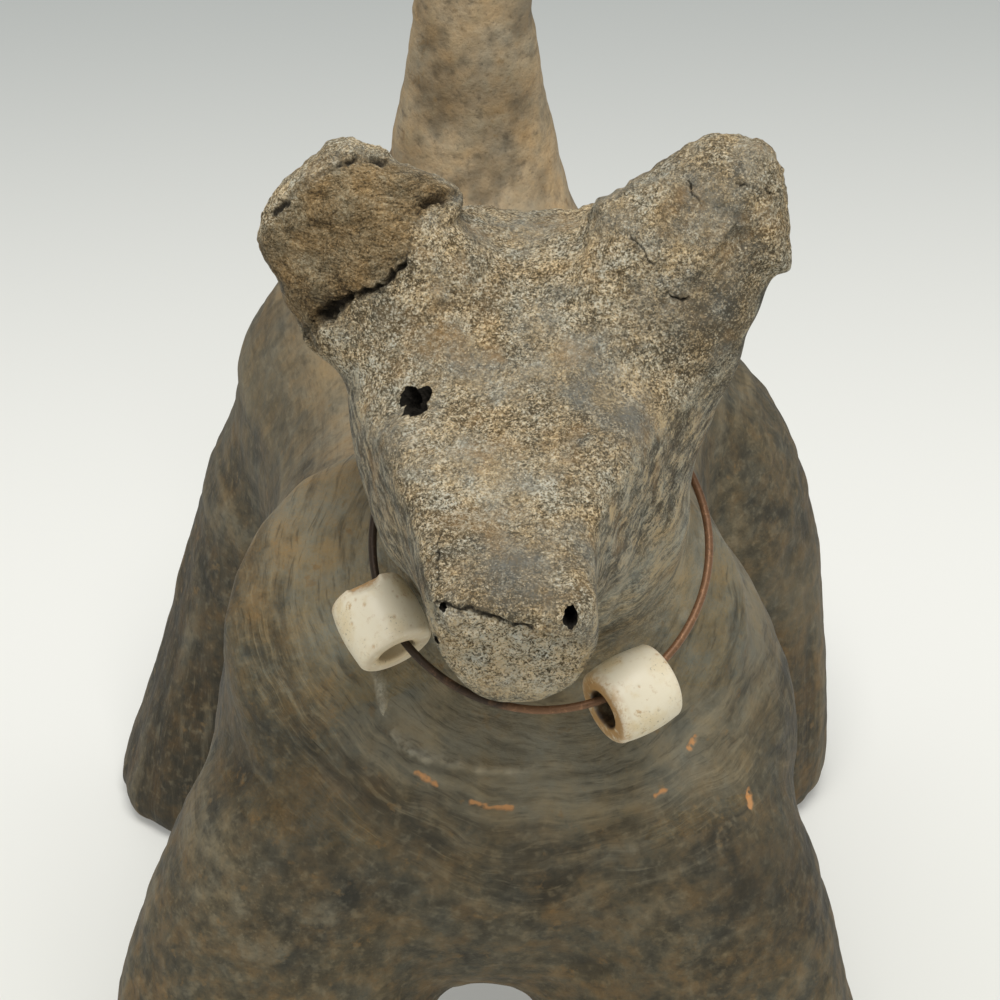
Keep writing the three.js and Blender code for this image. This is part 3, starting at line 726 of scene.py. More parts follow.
clay_marks = {
    "sandy": sandy, "wiped": wiped, "worn": worn, "crack": crack, "scuff": scuff, "ridge": ridge,
    "cheek": cheek, "crumbled": shut_eye, "tone": tone, "slated": patches_at(SLATES), "ochred": patches_at(OCHRES),
    "burnished": burnished, "drawn_up": drawn_up, "shadow": shadow,
}
add_marks(skin.data, clay_marks)
outward = skin.data.attributes.new("outward", "FLOAT_VECTOR", "POINT")
outward.data.foreach_set("vector", read_normals(skin.data).astype(np.float32).ravel())


# Parting. Each piece is cut out of the skin along its own seam, and keeps the skin's marks.
# The seams lie where the pieces were pressed together, so the figure parts as it was built up.
PARTING = {
    "left_ear": ("head", 0.8),
    "right_ear": ("head", 0.8),
    "head": ("neck", 1.3),
    "neck": ("torso", 1.3),
    "tail": ("torso", 1.3),
    "front_left_leg": ("torso", 1.3),
    "front_right_leg": ("torso", 1.3),
    "rear_left_leg": ("torso", 1.3),
    "rear_right_leg": ("torso", 1.3),
}
PARTING_MARGIN = 2.5
MARK_NAMES = (*clay_marks, "raised")


def cut(source, tool, operation):
    """Mesh of an object cut by another."""
    return with_modifier(source, "BOOLEAN", object=tool, operation=operation, solver="MANIFOLD")


def flag_faces(mesh, name):
    """Marks all of a mesh's faces, so that they are known again after a cut."""
    flag = mesh.attributes.new(name, "FLOAT", "FACE")
    flag.data.foreach_set("value", np.ones(len(mesh.polygons), np.float32))


def parting_tool(node, parent, by):
    """Room round a CAD node, less its parent's shape grown a little: the node's own clay."""
    low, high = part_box(node)
    room_size = high - low + Vector((2, 2, 2)) * PARTING_MARGIN * MM
    placing = Matrix.Translation((low + high) / 2) @ Matrix.Diagonal(room_size).to_4x4()
    box = bmesh.new()
    bmesh.ops.create_cube(box, size=1, matrix=placing)
    tool = new_object("parting_tool", mesh_from(box, "parting_tool"))
    core = new_object("parting_core", mesh_from(grown(parent, by), "parting_core"))
    tool.data = cut(tool, core, "DIFFERENCE")
    bpy.data.objects.remove(core)
    flag_faces(tool.data, "seam")
    return tool


skin_points = read_points(skin.data)
skin_ways = read_normals(skin.data)
skin_marks = {name: read_values(skin.data.attributes[name].data, "value", np.float32) for name in MARK_NAMES}
skin_tree = KDTree(len(skin_points))
for index, point in enumerate(skin_points.tolist()):
    skin_tree.insert(point, index)
skin_tree.balance()

clay = {}
for node, (parent, by) in PARTING.items():
    tool = parting_tool(node, parent, by)
    clay[node] = new_object("clay_" + node, cut(skin, tool, "INTERSECT"))
    skin.data = cut(skin, tool, "DIFFERENCE")
    bpy.data.objects.remove(tool)
clay["torso"] = skin
skin.name = "clay_torso"


def keep_skin_look(mesh):
    """Gives the points that a cut has made the skin's marks and shading, so that both run on across the seams."""
    ways = read_rows(mesh.attributes["outward"].data, "vector")
    points = read_points(mesh)
    made = np.flatnonzero(np.linalg.norm(ways, axis=1) < 0.5)
    for index in made.tolist():
        found = skin_tree.find_n(points[index], 4)
        nearest = [number for place, number, way in found]
        share = np.array([1 / (way + 0.02) for place, number, way in found])
        share /= share.sum()
        ways[index] = share @ skin_ways[nearest]
        for name in MARK_NAMES:
            mesh.attributes[name].data[index].value = share @ skin_marks[name][nearest]
    ways /= np.linalg.norm(ways, axis=1)[:, None]
    corners = read_values(mesh.polygons, "loop_total")
    inner = np.zeros(len(mesh.polygons), bool)
    for name in ("seam", "hole"):
        if name in mesh.attributes:
            inner |= read_values(mesh.attributes[name].data, "value", np.float32) > 0.5
    point_of_corner = read_values(mesh.loops, "vertex_index")
    on_inner = np.repeat(inner, corners)
    shading = ways[point_of_corner]
    shading[on_inner] = np.repeat(read_rows(mesh.polygons, "normal"), corners, axis=0)[on_inner]
    mesh.normals_split_custom_set(shading)


def finish_clay(node, material):
    """Dresses a clay piece, keeps the skin's shading, hides its CAD node and ties the piece to the figure's body."""
    piece = clay[node]
    piece.data.materials.clear()
    piece.data.materials.append(material)
    piece.data.shade_smooth()
    keep_skin_look(piece.data)
    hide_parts(node)
    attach(piece, "figure")


# Torso. One thick roll of smoke-fired clay, burnished with a pebble in long strokes.
# Soot has greyed it, thumbs have rubbed it brown, and orange clay shows in small scuffs.
# The soot colour also serves below as painted shade, and the dust colour as painted light.
SOOT_AND_SHADE = (0.026, 0.023, 0.017, 1)
SMOKED = (0.084, 0.074, 0.050, 1)
RUBBED = (0.165, 0.108, 0.050, 1)
DUST_AND_LIGHT = (0.250, 0.216, 0.148, 1)
HANDLED = (0.420, 0.325, 0.210, 1)
ORANGE = (0.50, 0.25, 0.10, 1)
BURNISHED = (0.260, 0.246, 0.190, 1)
DRAWN_UP = (0.390, 0.360, 0.285, 1)
SLIP_AND_HIGHLIGHT_PALE = (0.460, 0.430, 0.340, 1)
COOL = (0.92, 1.00, 1.09, 1)
WARM = (1.13, 1.00, 0.80, 1)
TINT_SHIFT = (80, 0, 0)
BLOT_SHIFT = (40, 40, 40)
CLAY_SHEEN = 0.22


def mixed(share, first, second):
    """Colour between two colours."""
    return share.node("ShaderNodeMix", {"data_type": "RGBA"}, output=2, _0=share, _6=first, _7=second)


def layered(colour, *layers):
    """Colour with others laid over it in turn, each by its own share."""
    for share, over in layers:
        colour = mixed(share, colour, over)
    return colour


def tinted(colour, warmth):
    """Colour made cooler or warmer."""
    settings = {"data_type": "RGBA", "blend_type": "MULTIPLY"}
    return colour.node("ShaderNodeMix", settings, output=2, _0=1.0, _6=colour, _7=mixed(warmth, COOL, WARM))


def vector(shade, operation, *values, output=0, **named):
    """Vector sum, product or measure."""
    sockets = {f"_{index}": value for index, value in enumerate(values)}
    return shade.node("ShaderNodeVectorMath", {"operation": operation}, output=output, **sockets, **named)


def noise_at(place, size, detail=2.0, rough=0.5):
    """Noise between 0 and 1 with lumps of that size, in the units of its place."""
    return place.node("ShaderNodeTexNoise", Vector=place, Scale=1.0 / size, Detail=detail, Roughness=rough)


def place_in_mm(shade):
    """Place on the piece in millimetres."""
    place = shade.node("ShaderNodeTexCoord", output=3)
    return vector(shade, "SCALE", place, Scale=1 / MM)


def axis_of(place, axis):
    """One of a place's three measures."""
    return place.node("ShaderNodeSeparateXYZ", Vector=place, output=axis)


def warmth_at(place, size, gain):
    """Share of the warm tint, in patches of that size."""
    return 0.5 + (noise_at(vector(place, "ADD", place, TINT_SHIFT), size, 4.0, 0.62) - 0.5) * gain


def mark(shade, name):
    """Share of a mark that was left on the skin."""
    return shade.node("ShaderNodeAttribute", {"attribute_name": name}, output=2)


def stroke_shade(shade, place, width, length, turn):
    """Noise drawn out with the strokes: round the neck's root, up the neck, along the body, down the legs."""
    out = vector(shade, "SUBTRACT", place, tuple(neck_centre))
    along = vector(shade, "DOT_PRODUCT", out, tuple(neck_axis), output=1)
    beside = vector(shade, "SUBTRACT", out, vector(shade, "SCALE", tuple(neck_axis), Scale=along))
    radius = vector(shade, "LENGTH", beside, output=1) + noise_at(place, 11.0, 2.0, 0.5) * 4.0 - 2.0
    turned = vector(shade, "NORMALIZE", beside)
    at_ring = vector(shade, "SCALE", tuple(neck_axis), Scale=radius / width)
    at_ring = vector(shade, "ADD", vector(shade, "SCALE", turned, Scale=turn), at_ring)
    at_neck = vector(shade, "SCALE", tuple(neck_axis), Scale=along / length)
    at_neck = vector(shade, "ADD", vector(shade, "SCALE", turned, Scale=NECK_ROUND / width), at_neck)
    height = axis_of(place, 2)
    at_body = vector(shade, "MULTIPLY", place, (1 / width, 1 / length, 1 / width))
    at_legs = vector(shade, "MULTIPLY", place, (1 / width, 1 / width, 1 / length))
    body, legs, rings, neck = (noise_at(where, 1.0, 4.0, 0.6) for where in (at_body, at_legs, at_ring, at_neck))
    rings = rings + (neck - rings) * along.above(*DRAWN_RISE)
    lower = 0.5 + (legs + (body - legs) * height.above(*LEG_RISE) - 0.5) * 0.7
    return lower + (rings - lower) * (1 - radius.above(*RING_REACH)) * along.above(*RING_RISE)


def smoked_look(shade, place):
    """Colour, roughness and relief of the smoked clay."""
    side, back, height = (axis_of(place, axis) for axis in range(3))
    clouds = noise_at(place, 12.0, 5.0, 0.6)
    mottle = noise_at(place, 3.0, 5.0, 0.66)
    blots = noise_at(vector(shade, "ADD", place, BLOT_SHIFT), 2.2, 4.0, 0.6)
    flecks = noise_at(place, 1.1, 2.0, 0.55)
    broad = stroke_shade(shade, place, 1.5, 14.0, 2.4)
    fine = stroke_shade(shade, place, 0.45, 6.0, 6.0)
    raised, burnished, tone = (mark(shade, name) for name in ("raised", "burnished", "tone"))
    handled = height.above(58, 80) * back.above(-34, -14)
    low_down = 1 - height.above(15, 60)
    # Painted shade: the lower rear flanks are darkened, more on the figure's right side.
    painted_shade_low_behind = (1 - height.above(22, 58)) * back.above(2, 26) * (0.55 - 0.4 * side.above(-12, 12))
    speckled = (1 - flecks.above(0.24, 0.48)) * (0.42 - 0.25 * handled - 0.3 * burnished)
    colour = layered(
        mixed(clouds.above(0.18, 0.58), SOOT_AND_SHADE, SMOKED),
        (handled * (0.5 + 0.5 * clouds.above(0.35, 0.60)), HANDLED),
        (mottle.above(0.42, 0.66) * (0.35 + 0.45 * low_down), RUBBED),
        (painted_shade_low_behind, SOOT_AND_SHADE),
        ((1 - mottle.above(0.33, 0.50)) * (0.45 - 0.25 * handled), SOOT_AND_SHADE),
        # Raised relief is painted paler and low relief darker: partly the clay's own colour, partly painted
        # highlight and painted shade.
        (raised.above(0.50, 1.0) * 0.35, DUST_AND_LIGHT),
        ((1 - raised.above(0.05, 0.48)) * 0.4, SOOT_AND_SHADE),
        (burnished * (0.45 + 0.4 * clouds), BURNISHED),
        (mark(shade, "drawn_up") * 0.8, DRAWN_UP),
        (broad.above(0.52, 0.68) * (0.32 + 0.18 * burnished), DUST_AND_LIGHT),
        ((1 - broad.above(0.32, 0.49)) * (0.5 + 0.1 * burnished), SOOT_AND_SHADE),
        (fine.above(0.53, 0.68) * 0.3, DUST_AND_LIGHT),
        ((1 - fine.above(0.32, 0.46)) * 0.45, SOOT_AND_SHADE),
        (blots.above(0.60, 0.70) * flecks.above(0.42, 0.54) * 0.6, RUBBED),
        (flecks.above(0.52, 0.78) * 0.3, DUST_AND_LIGHT),
        (speckled, SOOT_AND_SHADE),
        # Pale slip and painted highlight on the ridge's crest, then its painted shadow.
        (mark(shade, "ridge") * (flecks * 1.6 - 0.3), SLIP_AND_HIGHLIGHT_PALE),
        (mark(shade, "shadow") * 0.5, SOOT_AND_SHADE),
        # Painted shade and painted light from the tone patches.
        (tone * -0.35, SOOT_AND_SHADE),
        (tone * 0.35, DUST_AND_LIGHT),
    )
    bared = mark(shade, "scuff") * flecks.above(0.30, 0.52)
    colour = mixed(bared * 0.9, tinted(colour, warmth_at(place, 5.0, 2.2)), ORANGE)
    return colour, 0.55 + fine * 0.24, mottle * 0.3 + broad * 0.3 + fine * 0.25 + flecks * 0.3


def dress(shader, colour, rough, relief, strength, depth):
    """Gives a shader its colour and roughness, and a relief some millimetres deep."""
    bump = colour.node("ShaderNodeBump", Strength=strength, Distance=depth * MM, Height=relief)
    for name, value in (("Base Color", colour), ("Roughness", rough), ("Normal", bump)):
        if isinstance(value, Shade):
            colour.tree.links.new(value.socket, shader.inputs[name])
        else:
            shader.inputs[name].default_value = value


smoked_clay, shader, shade = new_material("smoked_clay")
dress(shader, *smoked_look(shade, place_in_mm(shade)), 0.9, 0.7)
shader.inputs["Specular IOR Level"].default_value = CLAY_SHEEN
finish_clay("torso", smoked_clay)

# Legs. Four tapered stubs of the same clay, set by hand and smeared on to the torso.
# They are rubbed browner towards the flat soles that they stand on.
for node in ("front_left_leg", "front_right_leg", "rear_left_leg", "rear_right_leg"):
    finish_clay(node, smoked_clay)

# Tail. An upright cone of the same clay, rolled in the palms and pressed on to the rump.
# Being handled has worn it paler and browner than the body.
finish_clay("tail", smoked_clay)

# Neck. A short leaning column, pressed on to the shoulders. Its root was wiped out over them in rings,
# under a ridge of slip. Above the collar it is of the head's sandier clay, drawn upwards in streaks.
SAND_DARK = (0.090, 0.071, 0.043, 1)
SAND_DULL = (0.190, 0.153, 0.098, 1)
SAND = (0.335, 0.277, 0.183, 1)
SAND_LIGHT = (0.480, 0.406, 0.280, 1)
SAND_PALE = (0.720, 0.645, 0.500, 1)
PAINTED_SHADE_BLACK = (0.016, 0.013, 0.009, 1)
SAND_SLATE = (0.172, 0.170, 0.152, 1)
CHEEK_DARK = (0.055, 0.046, 0.030, 1)
CHEEK_DULL = (0.105, 0.091, 0.063, 1)
CHEEK_GREY = (0.182, 0.163, 0.118, 1)
CHEEK_LIGHT = (0.315, 0.281, 0.205, 1)
SAND_OCHRE = (0.330, 0.212, 0.098, 1)
WIPED_DARK = (0.040, 0.026, 0.012, 1)
WIPED_DULL = (0.098, 0.069, 0.033, 1)
WIPED_BROWN = (0.185, 0.131, 0.068, 1)
WIPED_LIGHT = (0.270, 0.202, 0.115, 1)
WIPED_PALE = (0.390, 0.302, 0.180, 1)
GRIT_SIZE = 0.15
SWIRL_SIZE = 3.5


def shaded(value, *colours):
    """Colour from a row of colours, evenly spaced over a value from 0 to 1."""
    stops = [(index / (len(colours) - 1), colour) for index, colour in enumerate(colours)]
    return value.node("ShaderNodeValToRGB", {"stops": stops}, Fac=value)


sandy_clay, shader, shade = new_material("sandy_clay")
place = place_in_mm(shade)
smoked_colour, smoked_rough, smoked_relief = smoked_look(shade, place)
sand_share, cheek_share, wipe_share, wear_share = (
    mark(shade, name) for name in ("sandy", "cheek", "wiped", "worn")
)
clouds = noise_at(place, 7.0, 5.0, 0.62)
ochre = noise_at(place, 4.6, 5.0, 0.64)
patches = noise_at(place, 2.4, 4.0, 0.62)
grains = noise_at(place, 0.30, 2.0, 0.6)
grit_colour = shade.node("ShaderNodeTexVoronoi", Vector=place, Scale=1 / GRIT_SIZE, output=1)
grit, grit_tint = (shade.node("ShaderNodeSeparateColor", Color=grit_colour, output=part) for part in range(2))
# Tone from random patches, the tone patches' painted light and shade, and the nose's wear.
tone = (patches - 0.5) * 1.2 + mark(shade, "tone") * 0.12 + wear_share * 0.40
sand = (noise_at(place, 0.42, 5.0, 0.80) - 0.5) * 3.1 + (grit - 0.5) * 0.8
sand = 0.5 + sand * (clouds * 2.0) * (1 + wear_share * 0.5)
sand_colour = layered(
    shaded(sand + tone - 0.02, SAND_DARK, SAND_DULL, SAND, SAND_LIGHT, SAND_PALE),
    ((1 - clouds.above(0.36, 0.56)) * 0.42 + mark(shade, "slated") * 0.5, SAND_SLATE),
    (ochre.above(0.52, 0.68) * 0.3 + mark(shade, "ochred") * ochre.above(0.38, 0.56) * 0.5, SAND_OCHRE),
    (grains.above(0.62, 0.72) * 0.6, SAND_PALE),
    ((1 - grains.above(0.24, 0.36)) * 0.5, SAND_DARK),
    (mark(shade, "crumbled") * grains.above(0.42, 0.58) * 0.7, SAND_PALE),
)
forward = vector(shade, "DOT_PRODUCT", place, HEAD_FORWARD, output=1)
combed = vector(shade, "ADD", place, vector(shade, "SCALE", HEAD_FORWARD, Scale=forward * -0.82))
streaks = 0.5 + (noise_at(combed, 0.85, 6.0, 0.78) - 0.5) * 4.4 + (grit - 0.5) * 0.6
cheek_colour = layered(
    shaded(streaks + tone * 1.5 + 0.03, CHEEK_DARK, CHEEK_DULL, CHEEK_GREY, CHEEK_LIGHT, SAND_LIGHT),
    (ochre.above(0.54, 0.68) * 0.35, SAND_OCHRE),
)
swirl = shade.node("ShaderNodeTexNoise", Vector=place, Scale=1 / SWIRL_SIZE, Detail=2.0, output=1)
swirled = vector(shade, "ADD", place, vector(shade, "SCALE", swirl, Scale=3.0))
sideways = vector(shade, "MULTIPLY", swirled, (0.13, 1.0, 1.0))
wipes = 0.5 + (noise_at(sideways, 0.36, 6.0, 0.76) - 0.5) * 2.5 + (grit - 0.5) * 0.5
wiped_colour = layered(
    shaded(wipes + tone, WIPED_DARK, WIPED_DULL, WIPED_BROWN, WIPED_LIGHT, WIPED_PALE),
    (grains.above(0.66, 0.76) * 0.35, WIPED_PALE),
)
base = mixed(cheek_share * 0.9, smoked_colour, cheek_colour)
colour = mixed(sand_share, base, mixed(wipe_share * 0.95, sand_colour, wiped_colour))
colour = layered(
    tinted(colour, warmth_at(place, 3.2, 2.8) + (grit_tint - 0.5) * 0.5),
    # Pale slip and painted highlight on the ridges' crests.
    (mark(shade, "ridge") * (grains * 1.6 - 0.3), SLIP_AND_HIGHLIGHT_PALE),
    # Cracks and the poked holes are painted near black: painted shade.
    (mark(shade, "crack") * 0.95, PAINTED_SHADE_BLACK),
    (mark(shade, "hole"), PAINTED_SHADE_BLACK),
)
sand_relief = sand * 0.13 + patches * 1.2
cheek_relief = streaks * 0.13 + patches * 0.8
relief = smoked_relief + (cheek_relief - smoked_relief) * cheek_share
relief = relief + (sand_relief - relief) * sand_share
relief = relief + (wipes * 0.15 + patches * 0.6 - relief) * wipe_share
dress(shader, colour, smoked_rough + sand_share * 0.2, relief, 1.0, 0.9)
shader.inputs["Specular IOR Level"].default_value = CLAY_SHEEN
finish_clay("neck", sandy_clay)


# Head. A blunt wedge of sandier clay, pressed over the neck and left rough and pale on top.
# One eye and the nostrils were poked with a stick. The other eye has crumbled shut, and the nose
# has worn to a flat grainy face.
EYE_PIXELS = ((418, 404), (409, 396))
NOSTRIL_PIXEL = (570, 618)
NOSTRIL_PITS = ((443, 607), (437, 640))


def lumpy_stick(place, inward, radius, length, lump, seed):
    """Ragged tapered plug, to be pushed into clay along a direction."""
    plug = bmesh.new()
    bmesh.ops.create_icosphere(plug, subdivisions=4, radius=1)
    mesh = mesh_from(plug, "plug")
    points = read_points(mesh) * MM
    rough = 1 + lump * lumps(points, 0.55, seed) + 0.5 * lump * lumps(points, 0.22, seed + 1)
    points *= rough[:, None] * (radius[0], radius[1], length)
    side = np.cross(inward, camera_up)
    side /= np.linalg.norm(side)
    write_points(mesh, points @ np.stack((side, np.cross(inward, side), inward)) + place)
    flag_faces(mesh, "hole")
    return new_object("plug", mesh)


def push_in(piece, tool):
    piece.data = cut(piece, tool, "DIFFERENCE")
    bpy.data.objects.remove(tool)


head = clay["head"]
find_on_head = sight_finder(head)
(eye, eye_out), (corner, corner_out) = (find_on_head(*pixel) for pixel in EYE_PIXELS)
nostril, nostril_out = find_on_head(*NOSTRIL_PIXEL)
pits = [find_on_head(*pixel) for pixel in NOSTRIL_PITS]
push_in(head, lumpy_stick(eye, -eye_out, (1.15, 1.9), 5.5, 0.3, 11))
push_in(head, lumpy_stick(corner, -corner_out, (0.9, 1.1), 3.0, 0.3, 13))
push_in(head, lumpy_stick(nostril, -nostril_out, (0.62, 1.05), 3.2, 0.3, 15))
for seed, (pit, pit_out) in enumerate(pits):
    push_in(head, lumpy_stick(pit, -pit_out, (0.36, 0.42), 0.9, 0.4, 17 + seed))
finish_clay("head", sandy_clay)

# Ears. Short thick stubs of the same clay with blunt ends, pressed on to the skull.
# One was wiped smooth and brown with a thumb, and its root has cracked.
for node in ("left_ear", "right_ear"):
    finish_clay(node, sandy_clay)


# Collar wire. One length of soft copper wire, bent to a loose ring and gone dull brown.
# It hangs on the nape, where its two ends are wound round each other.
WIRE_RADIUS = 0.40
LOOP_RADIUS = 16.0
LOOP_OPENING = math.radians(9)
LOOP_STEPS = 90
TWIST_TURNS = 1.5
TWIST_PITCH = 4.4
TWIST_RADIUS = 0.55
TWIST_STANDOFF = 1.6
TWIST_DROOP = math.radians(37)
TWIST_STEPS = 24
WIRE_SIDES = 20
WIRE_BEND = 0.07
WIRE_END_LENGTH = 0.25
WIRE_END_WIDTH = 0.7
COPPER_DARK = (0.040, 0.027, 0.018, 1)
COPPER_BROWN = (0.185, 0.098, 0.052, 1)
COPPER_BRIGHT = (0.430, 0.235, 0.125, 1)

collar_across = np.array((1.0, 0.0, 0.0))
collar_back = np.cross(neck_axis, collar_across)
twist_along = np.array((0, math.cos(TWIST_DROOP), -math.sin(TWIST_DROOP)))
twist_up = np.cross(twist_along, (1, 0, 0))


def twist_strand(start_turn):
    """One wire end's path from the ring outwards."""
    steps = np.arange(1, int(TWIST_TURNS * TWIST_STEPS) + 1) / TWIST_STEPS
    turn = start_turn + 2 * math.pi * steps
    way = np.outer(TWIST_PITCH * steps, twist_along) + (0, LOOP_RADIUS + TWIST_STANDOFF, 0)
    return way + TWIST_RADIUS * (np.outer(np.cos(turn), (1, 0, 0)) + np.outer(np.sin(turn), twist_up))


def smooth_path(corners, per_span):
    """Rounded line through corner places."""
    padded = np.concatenate((2 * corners[:1] - corners[1:2], corners, 2 * corners[-1:] - corners[-2:-1]))
    share = np.arange(per_span)[None, :, None] / per_span
    a, b, c, d = (padded[first:first + len(corners) - 1, None] for first in range(4))
    path = b + 0.5 * share * (c - a + share * (2 * a - 5 * b + 4 * c - d + share * (3 * (b - c) + d - a)))
    return np.concatenate((path.reshape(-1, 3), corners[-1:]))


def tube(name, path, radius, sides):
    """Round rod along a path, with slightly rounded ends."""
    ahead = np.gradient(path, axis=0)
    ahead /= np.linalg.norm(ahead, axis=1)[:, None]
    cap = WIRE_END_LENGTH * radius
    path = np.concatenate((path[:1] - cap * ahead[:1], path, path[-1:] + cap * ahead[-1:]))
    ahead = np.concatenate((ahead[:1], ahead, ahead[-1:]))
    width = np.full(len(path), radius)
    width[[0, -1]] *= WIRE_END_WIDTH
    side = np.cross(ahead[0], (0.3, 0.5, 0.8))
    rings = []
    for place, way, size in zip(path, ahead, width):
        side = side - way * (side @ way)
        side /= np.linalg.norm(side)
        other = np.cross(way, side)
        turn = 2 * math.pi * np.arange(sides) / sides
        rings.append(place + size * (np.outer(np.cos(turn), side) + np.outer(np.sin(turn), other)))
    corner = np.arange(sides)
    rows = np.arange(len(path) - 1)[:, None] * sides
    quads = np.stack((rows + corner, rows + (corner + 1) % sides), 2)
    quads = np.concatenate((quads, quads[:, :, ::-1] + sides), 2).reshape(-1, 4)
    ends = [corner[::-1].tolist(), (corner + (len(path) - 1) * sides).tolist()]
    mesh = bpy.data.meshes.new(name)
    mesh.from_pydata((np.concatenate(rings) * MM).tolist(), [], quads.tolist() + ends)
    return mesh


loop_turn = (math.pi - LOOP_OPENING) * np.linspace(1, -1, LOOP_STEPS)
loop_path = LOOP_RADIUS * np.stack((np.sin(loop_turn), -np.cos(loop_turn), 0 * loop_turn), 1)
loop_bend = np.stack([lumps(loop_path, 5.0, 40 + axis) for axis in range(3)], 1)
loop_path += WIRE_BEND * np.sin(np.linspace(0, math.pi, LOOP_STEPS))[:, None] * loop_bend
corners = np.concatenate((twist_strand(0)[::-1], loop_path, twist_strand(math.pi)))
wire_path = smooth_path(corners, 4) @ np.stack((collar_across, collar_back, neck_axis)) + neck_centre
wire = new_object("copper_wire", tube("copper_wire", wire_path, WIRE_RADIUS, WIRE_SIDES))
wire.data.shade_smooth()
copper, shader, shade = new_material("dull_copper")
place = place_in_mm(shade)
tarnish = noise_at(place, 3.5, 4.0, 0.6)
scratches = noise_at(place, 0.35, 3.0, 0.6)
rubbed = (tarnish + (axis_of(place, 0) + 1) * 0.03).above(0.36, 0.66)
colour = layered(
    mixed(rubbed, COPPER_DARK, COPPER_BROWN),
    (scratches.above(0.55, 0.70) * (0.1 + 0.35 * rubbed), COPPER_BRIGHT),
    ((1 - scratches.above(0.30, 0.42)) * 0.5, COPPER_DARK),
)
dress(shader, colour, 0.45, scratches, 0.4, 0.08)
shader.inputs["Metallic"].default_value = 0.3
shader.inputs["Specular IOR Level"].default_value = 0.25
wire.data.materials.append(copper)
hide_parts("collar_wire")
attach(wire, "collar")


# Beads. Two drums of cream-white glazed clay, threaded on the wire and free to slide.
# Their rims are rounded, one end of each is stained brown, and one rim has lost a chip.
BEAD_RADIUS = 4.0
BEAD_LENGTH = 6.8
BEAD_BORE_RADIUS = 1.83
BEAD_BULGE = 0.25
BEAD_RIM = 0.6
BEAD_BORE_RIM = 0.35
BEAD_STEP = 0.13
BEAD_SIDES = 180
BEAD_WOBBLE = 0.07
BEAD_PITS = 26
PIT_SIZES = (0.10, 0.24)
PIT_DEPTH = 0.10
CHIP_REACH = (1.3, 1.9)
CREAM = (0.72, 0.658, 0.512, 1)
CREAM_WARM = (0.64, 0.525, 0.320, 1)
STAIN = (0.40, 0.222, 0.075, 1)
STAIN_DARK_AND_SHADE = (0.040, 0.024, 0.012, 1)


def arc(centre, radius, start, end, count=14):
    """Points on part of a circle, as along and out from the bore's axis. Angles in quarter turns."""
    turn = np.linspace(start, end, count) * math.pi / 2
    return np.stack((centre[0] + radius * np.cos(turn), centre[1] + radius * np.sin(turn)), 1)


def bead_profile():
    """Evenly spaced outline of a bead's wall: bore, end, rim, drum, rim and end."""
    half = BEAD_LENGTH / 2
    drum = np.linspace(-1, 1, 30)
    shoulder = half - BEAD_RIM
    barrel = np.stack((drum * shoulder, BEAD_RADIUS - BEAD_BULGE * drum ** 2), 1)
    rim_out = BEAD_RADIUS - BEAD_BULGE - BEAD_RIM
    bore_out = BEAD_BORE_RADIUS + BEAD_BORE_RIM
    outline = np.concatenate((
        arc((-half + BEAD_BORE_RIM, bore_out), BEAD_BORE_RIM, 3, 2),
        arc((-shoulder, rim_out), BEAD_RIM, 2, 1),
        barrel,
        arc((shoulder, rim_out), BEAD_RIM, 1, 0),
        arc((half - BEAD_BORE_RIM, bore_out), BEAD_BORE_RIM, 0, -1),
    ))
    outline = np.concatenate((outline, outline[:1]))
    way = np.concatenate(([0], np.cumsum(np.linalg.norm(np.diff(outline, axis=0), axis=1))))
    even = np.linspace(0, way[-1], int(way[-1] / BEAD_STEP), endpoint=False)
    return np.stack([np.interp(even, way, outline[:, axis]) for axis in range(2)], 1)


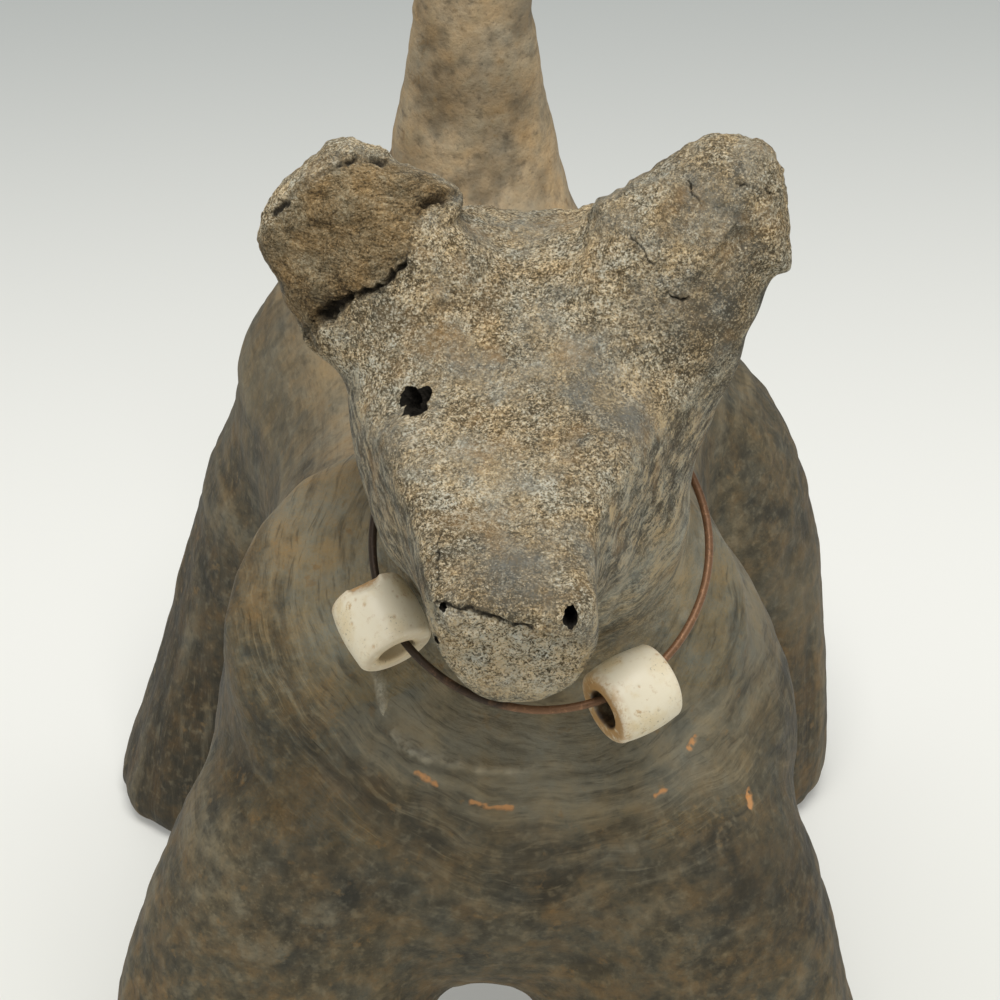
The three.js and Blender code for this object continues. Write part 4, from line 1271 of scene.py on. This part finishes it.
def bead_mesh(name, seed, chip):
    """Bead turned about its own X axis, with its Y axis away from the ring's centre."""
    profile = bead_profile()
    turn = 2 * math.pi * np.arange(BEAD_SIDES) / BEAD_SIDES
    along = np.repeat(profile[None, :, 0], BEAD_SIDES, 0)
    out = np.repeat(profile[None, :, 1], BEAD_SIDES, 0)
    points = np.stack((along, out * np.cos(turn)[:, None], out * np.sin(turn)[:, None]), 2).reshape(-1, 3)
    outer = ramp_between(out.ravel(), BEAD_BORE_RADIUS + 0.2, BEAD_BORE_RADIUS + 1.0)
    direction = np.stack((0.6 * along.ravel() / BEAD_LENGTH, *(points[:, 1:].T / out.ravel())), 1)
    direction /= np.linalg.norm(direction, axis=1)[:, None]
    points += direction * (BEAD_WOBBLE * outer * lumps(points, 3.2, seed))[:, None]
    pit = np.zeros(len(points))
    choose = np.random.default_rng(seed)
    for index in choose.choice(np.flatnonzero(out.ravel() > BEAD_RADIUS - 1.0), BEAD_PITS, replace=False):
        size = choose.uniform(*PIT_SIZES)
        hollow = 1 - ramp_between(np.linalg.norm(points - points[index], axis=1), 0.4 * size, size)
        pit = np.maximum(pit, hollow)
    points -= direction * (PIT_DEPTH * pit)[:, None]
    if chip:
        place, way = np.array(chip[0]), np.array(chip[1]) / np.linalg.norm(chip[1])
        near = 1 - ramp_between(np.linalg.norm(points - place, axis=1), *CHIP_REACH)
        over = np.maximum((points - place) @ way + 0.12 * lumps(points, 0.6, seed + 1), 0) * near
        points -= np.outer(over, way)
    corner = np.arange(len(profile))
    rows = np.arange(BEAD_SIDES)[:, None] * len(profile)
    next_rows = (np.roll(np.arange(BEAD_SIDES), -1) * len(profile))[:, None]
    following = (corner + 1) % len(profile)
    quads = np.stack((rows + corner, rows + following, next_rows + following, next_rows + corner), 2)
    mesh = bpy.data.meshes.new(name)
    mesh.from_pydata((points * MM).tolist(), [], quads.reshape(-1, 4).tolist())
    add_marks(mesh, {"pit": pit, "along": along.ravel(), "out": out.ravel()})
    mesh.shade_smooth()
    return mesh


glaze, shader, shade = new_material("cream_glaze")
place = place_in_mm(shade)
along = mark(shade, "along")
out = mark(shade, "out")
yellowed = noise_at(place, 2.6, 4.0, 0.6)
blots = noise_at(place, 0.9, 4.0, 0.65)
freckles = noise_at(place, 0.28, 3.0, 0.6)
on_end = shade.math("ABSOLUTE", along).above(2.2, 3.0) * (1 - (out + (blots - 0.5) * 3.0).above(3.0, 4.2))
stained_side = along.above(-1.5, 1.5)
colour = layered(
    mixed(yellowed.above(0.42, 0.66) * (0.5 + 0.4 * stained_side), CREAM, CREAM_WARM),
    ((1 - out.above(1.9, 2.7)) * 0.8, CREAM_WARM),
    (on_end * blots.above(0.24, 0.50) * (0.25 + 0.7 * stained_side), STAIN),
    (blots.above(0.58, 0.70) * (0.2 + 0.4 * stained_side), STAIN),
    (freckles.above(0.59, 0.68) * yellowed.above(0.46, 0.60) * 0.5, STAIN_DARK_AND_SHADE),
    # The bore's wall at the stained end is darkened: partly brown stain, partly painted shade.
    ((1 - out.above(1.85, 2.25)) * (0.5 + blots * 0.8) * stained_side, STAIN_DARK_AND_SHADE),
    (mark(shade, "pit") * 0.55, STAIN),
)
dress(shader, colour, 0.34 + blots * 0.2, blots, 0.25, 0.1)
BEADS = {"left_bead": (-12, None), "right_bead": (7, ((2.7, 0.1, 3.1), (0.75, 0.0, 0.66)))}
for seed, (node, (tilt, chip)) in enumerate(BEADS.items()):
    low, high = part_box(node)
    centre = (low + high) / 2
    outward = centre - collar_centre
    outward = (outward - collar_axis * outward.dot(collar_axis)).normalized()
    bead = new_object("cream_" + node, bead_mesh("cream_" + node, 50 + 7 * seed, chip))
    axes = Matrix((outward.cross(collar_axis), outward, collar_axis)).transposed()
    tilting = Matrix.Rotation(math.radians(tilt), 4, "Y")
    bead.matrix_world = Matrix.Translation(centre) @ axes.to_4x4() @ tilting
    bead.data.materials.append(glaze)
    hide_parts(node)
    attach(bead, node)
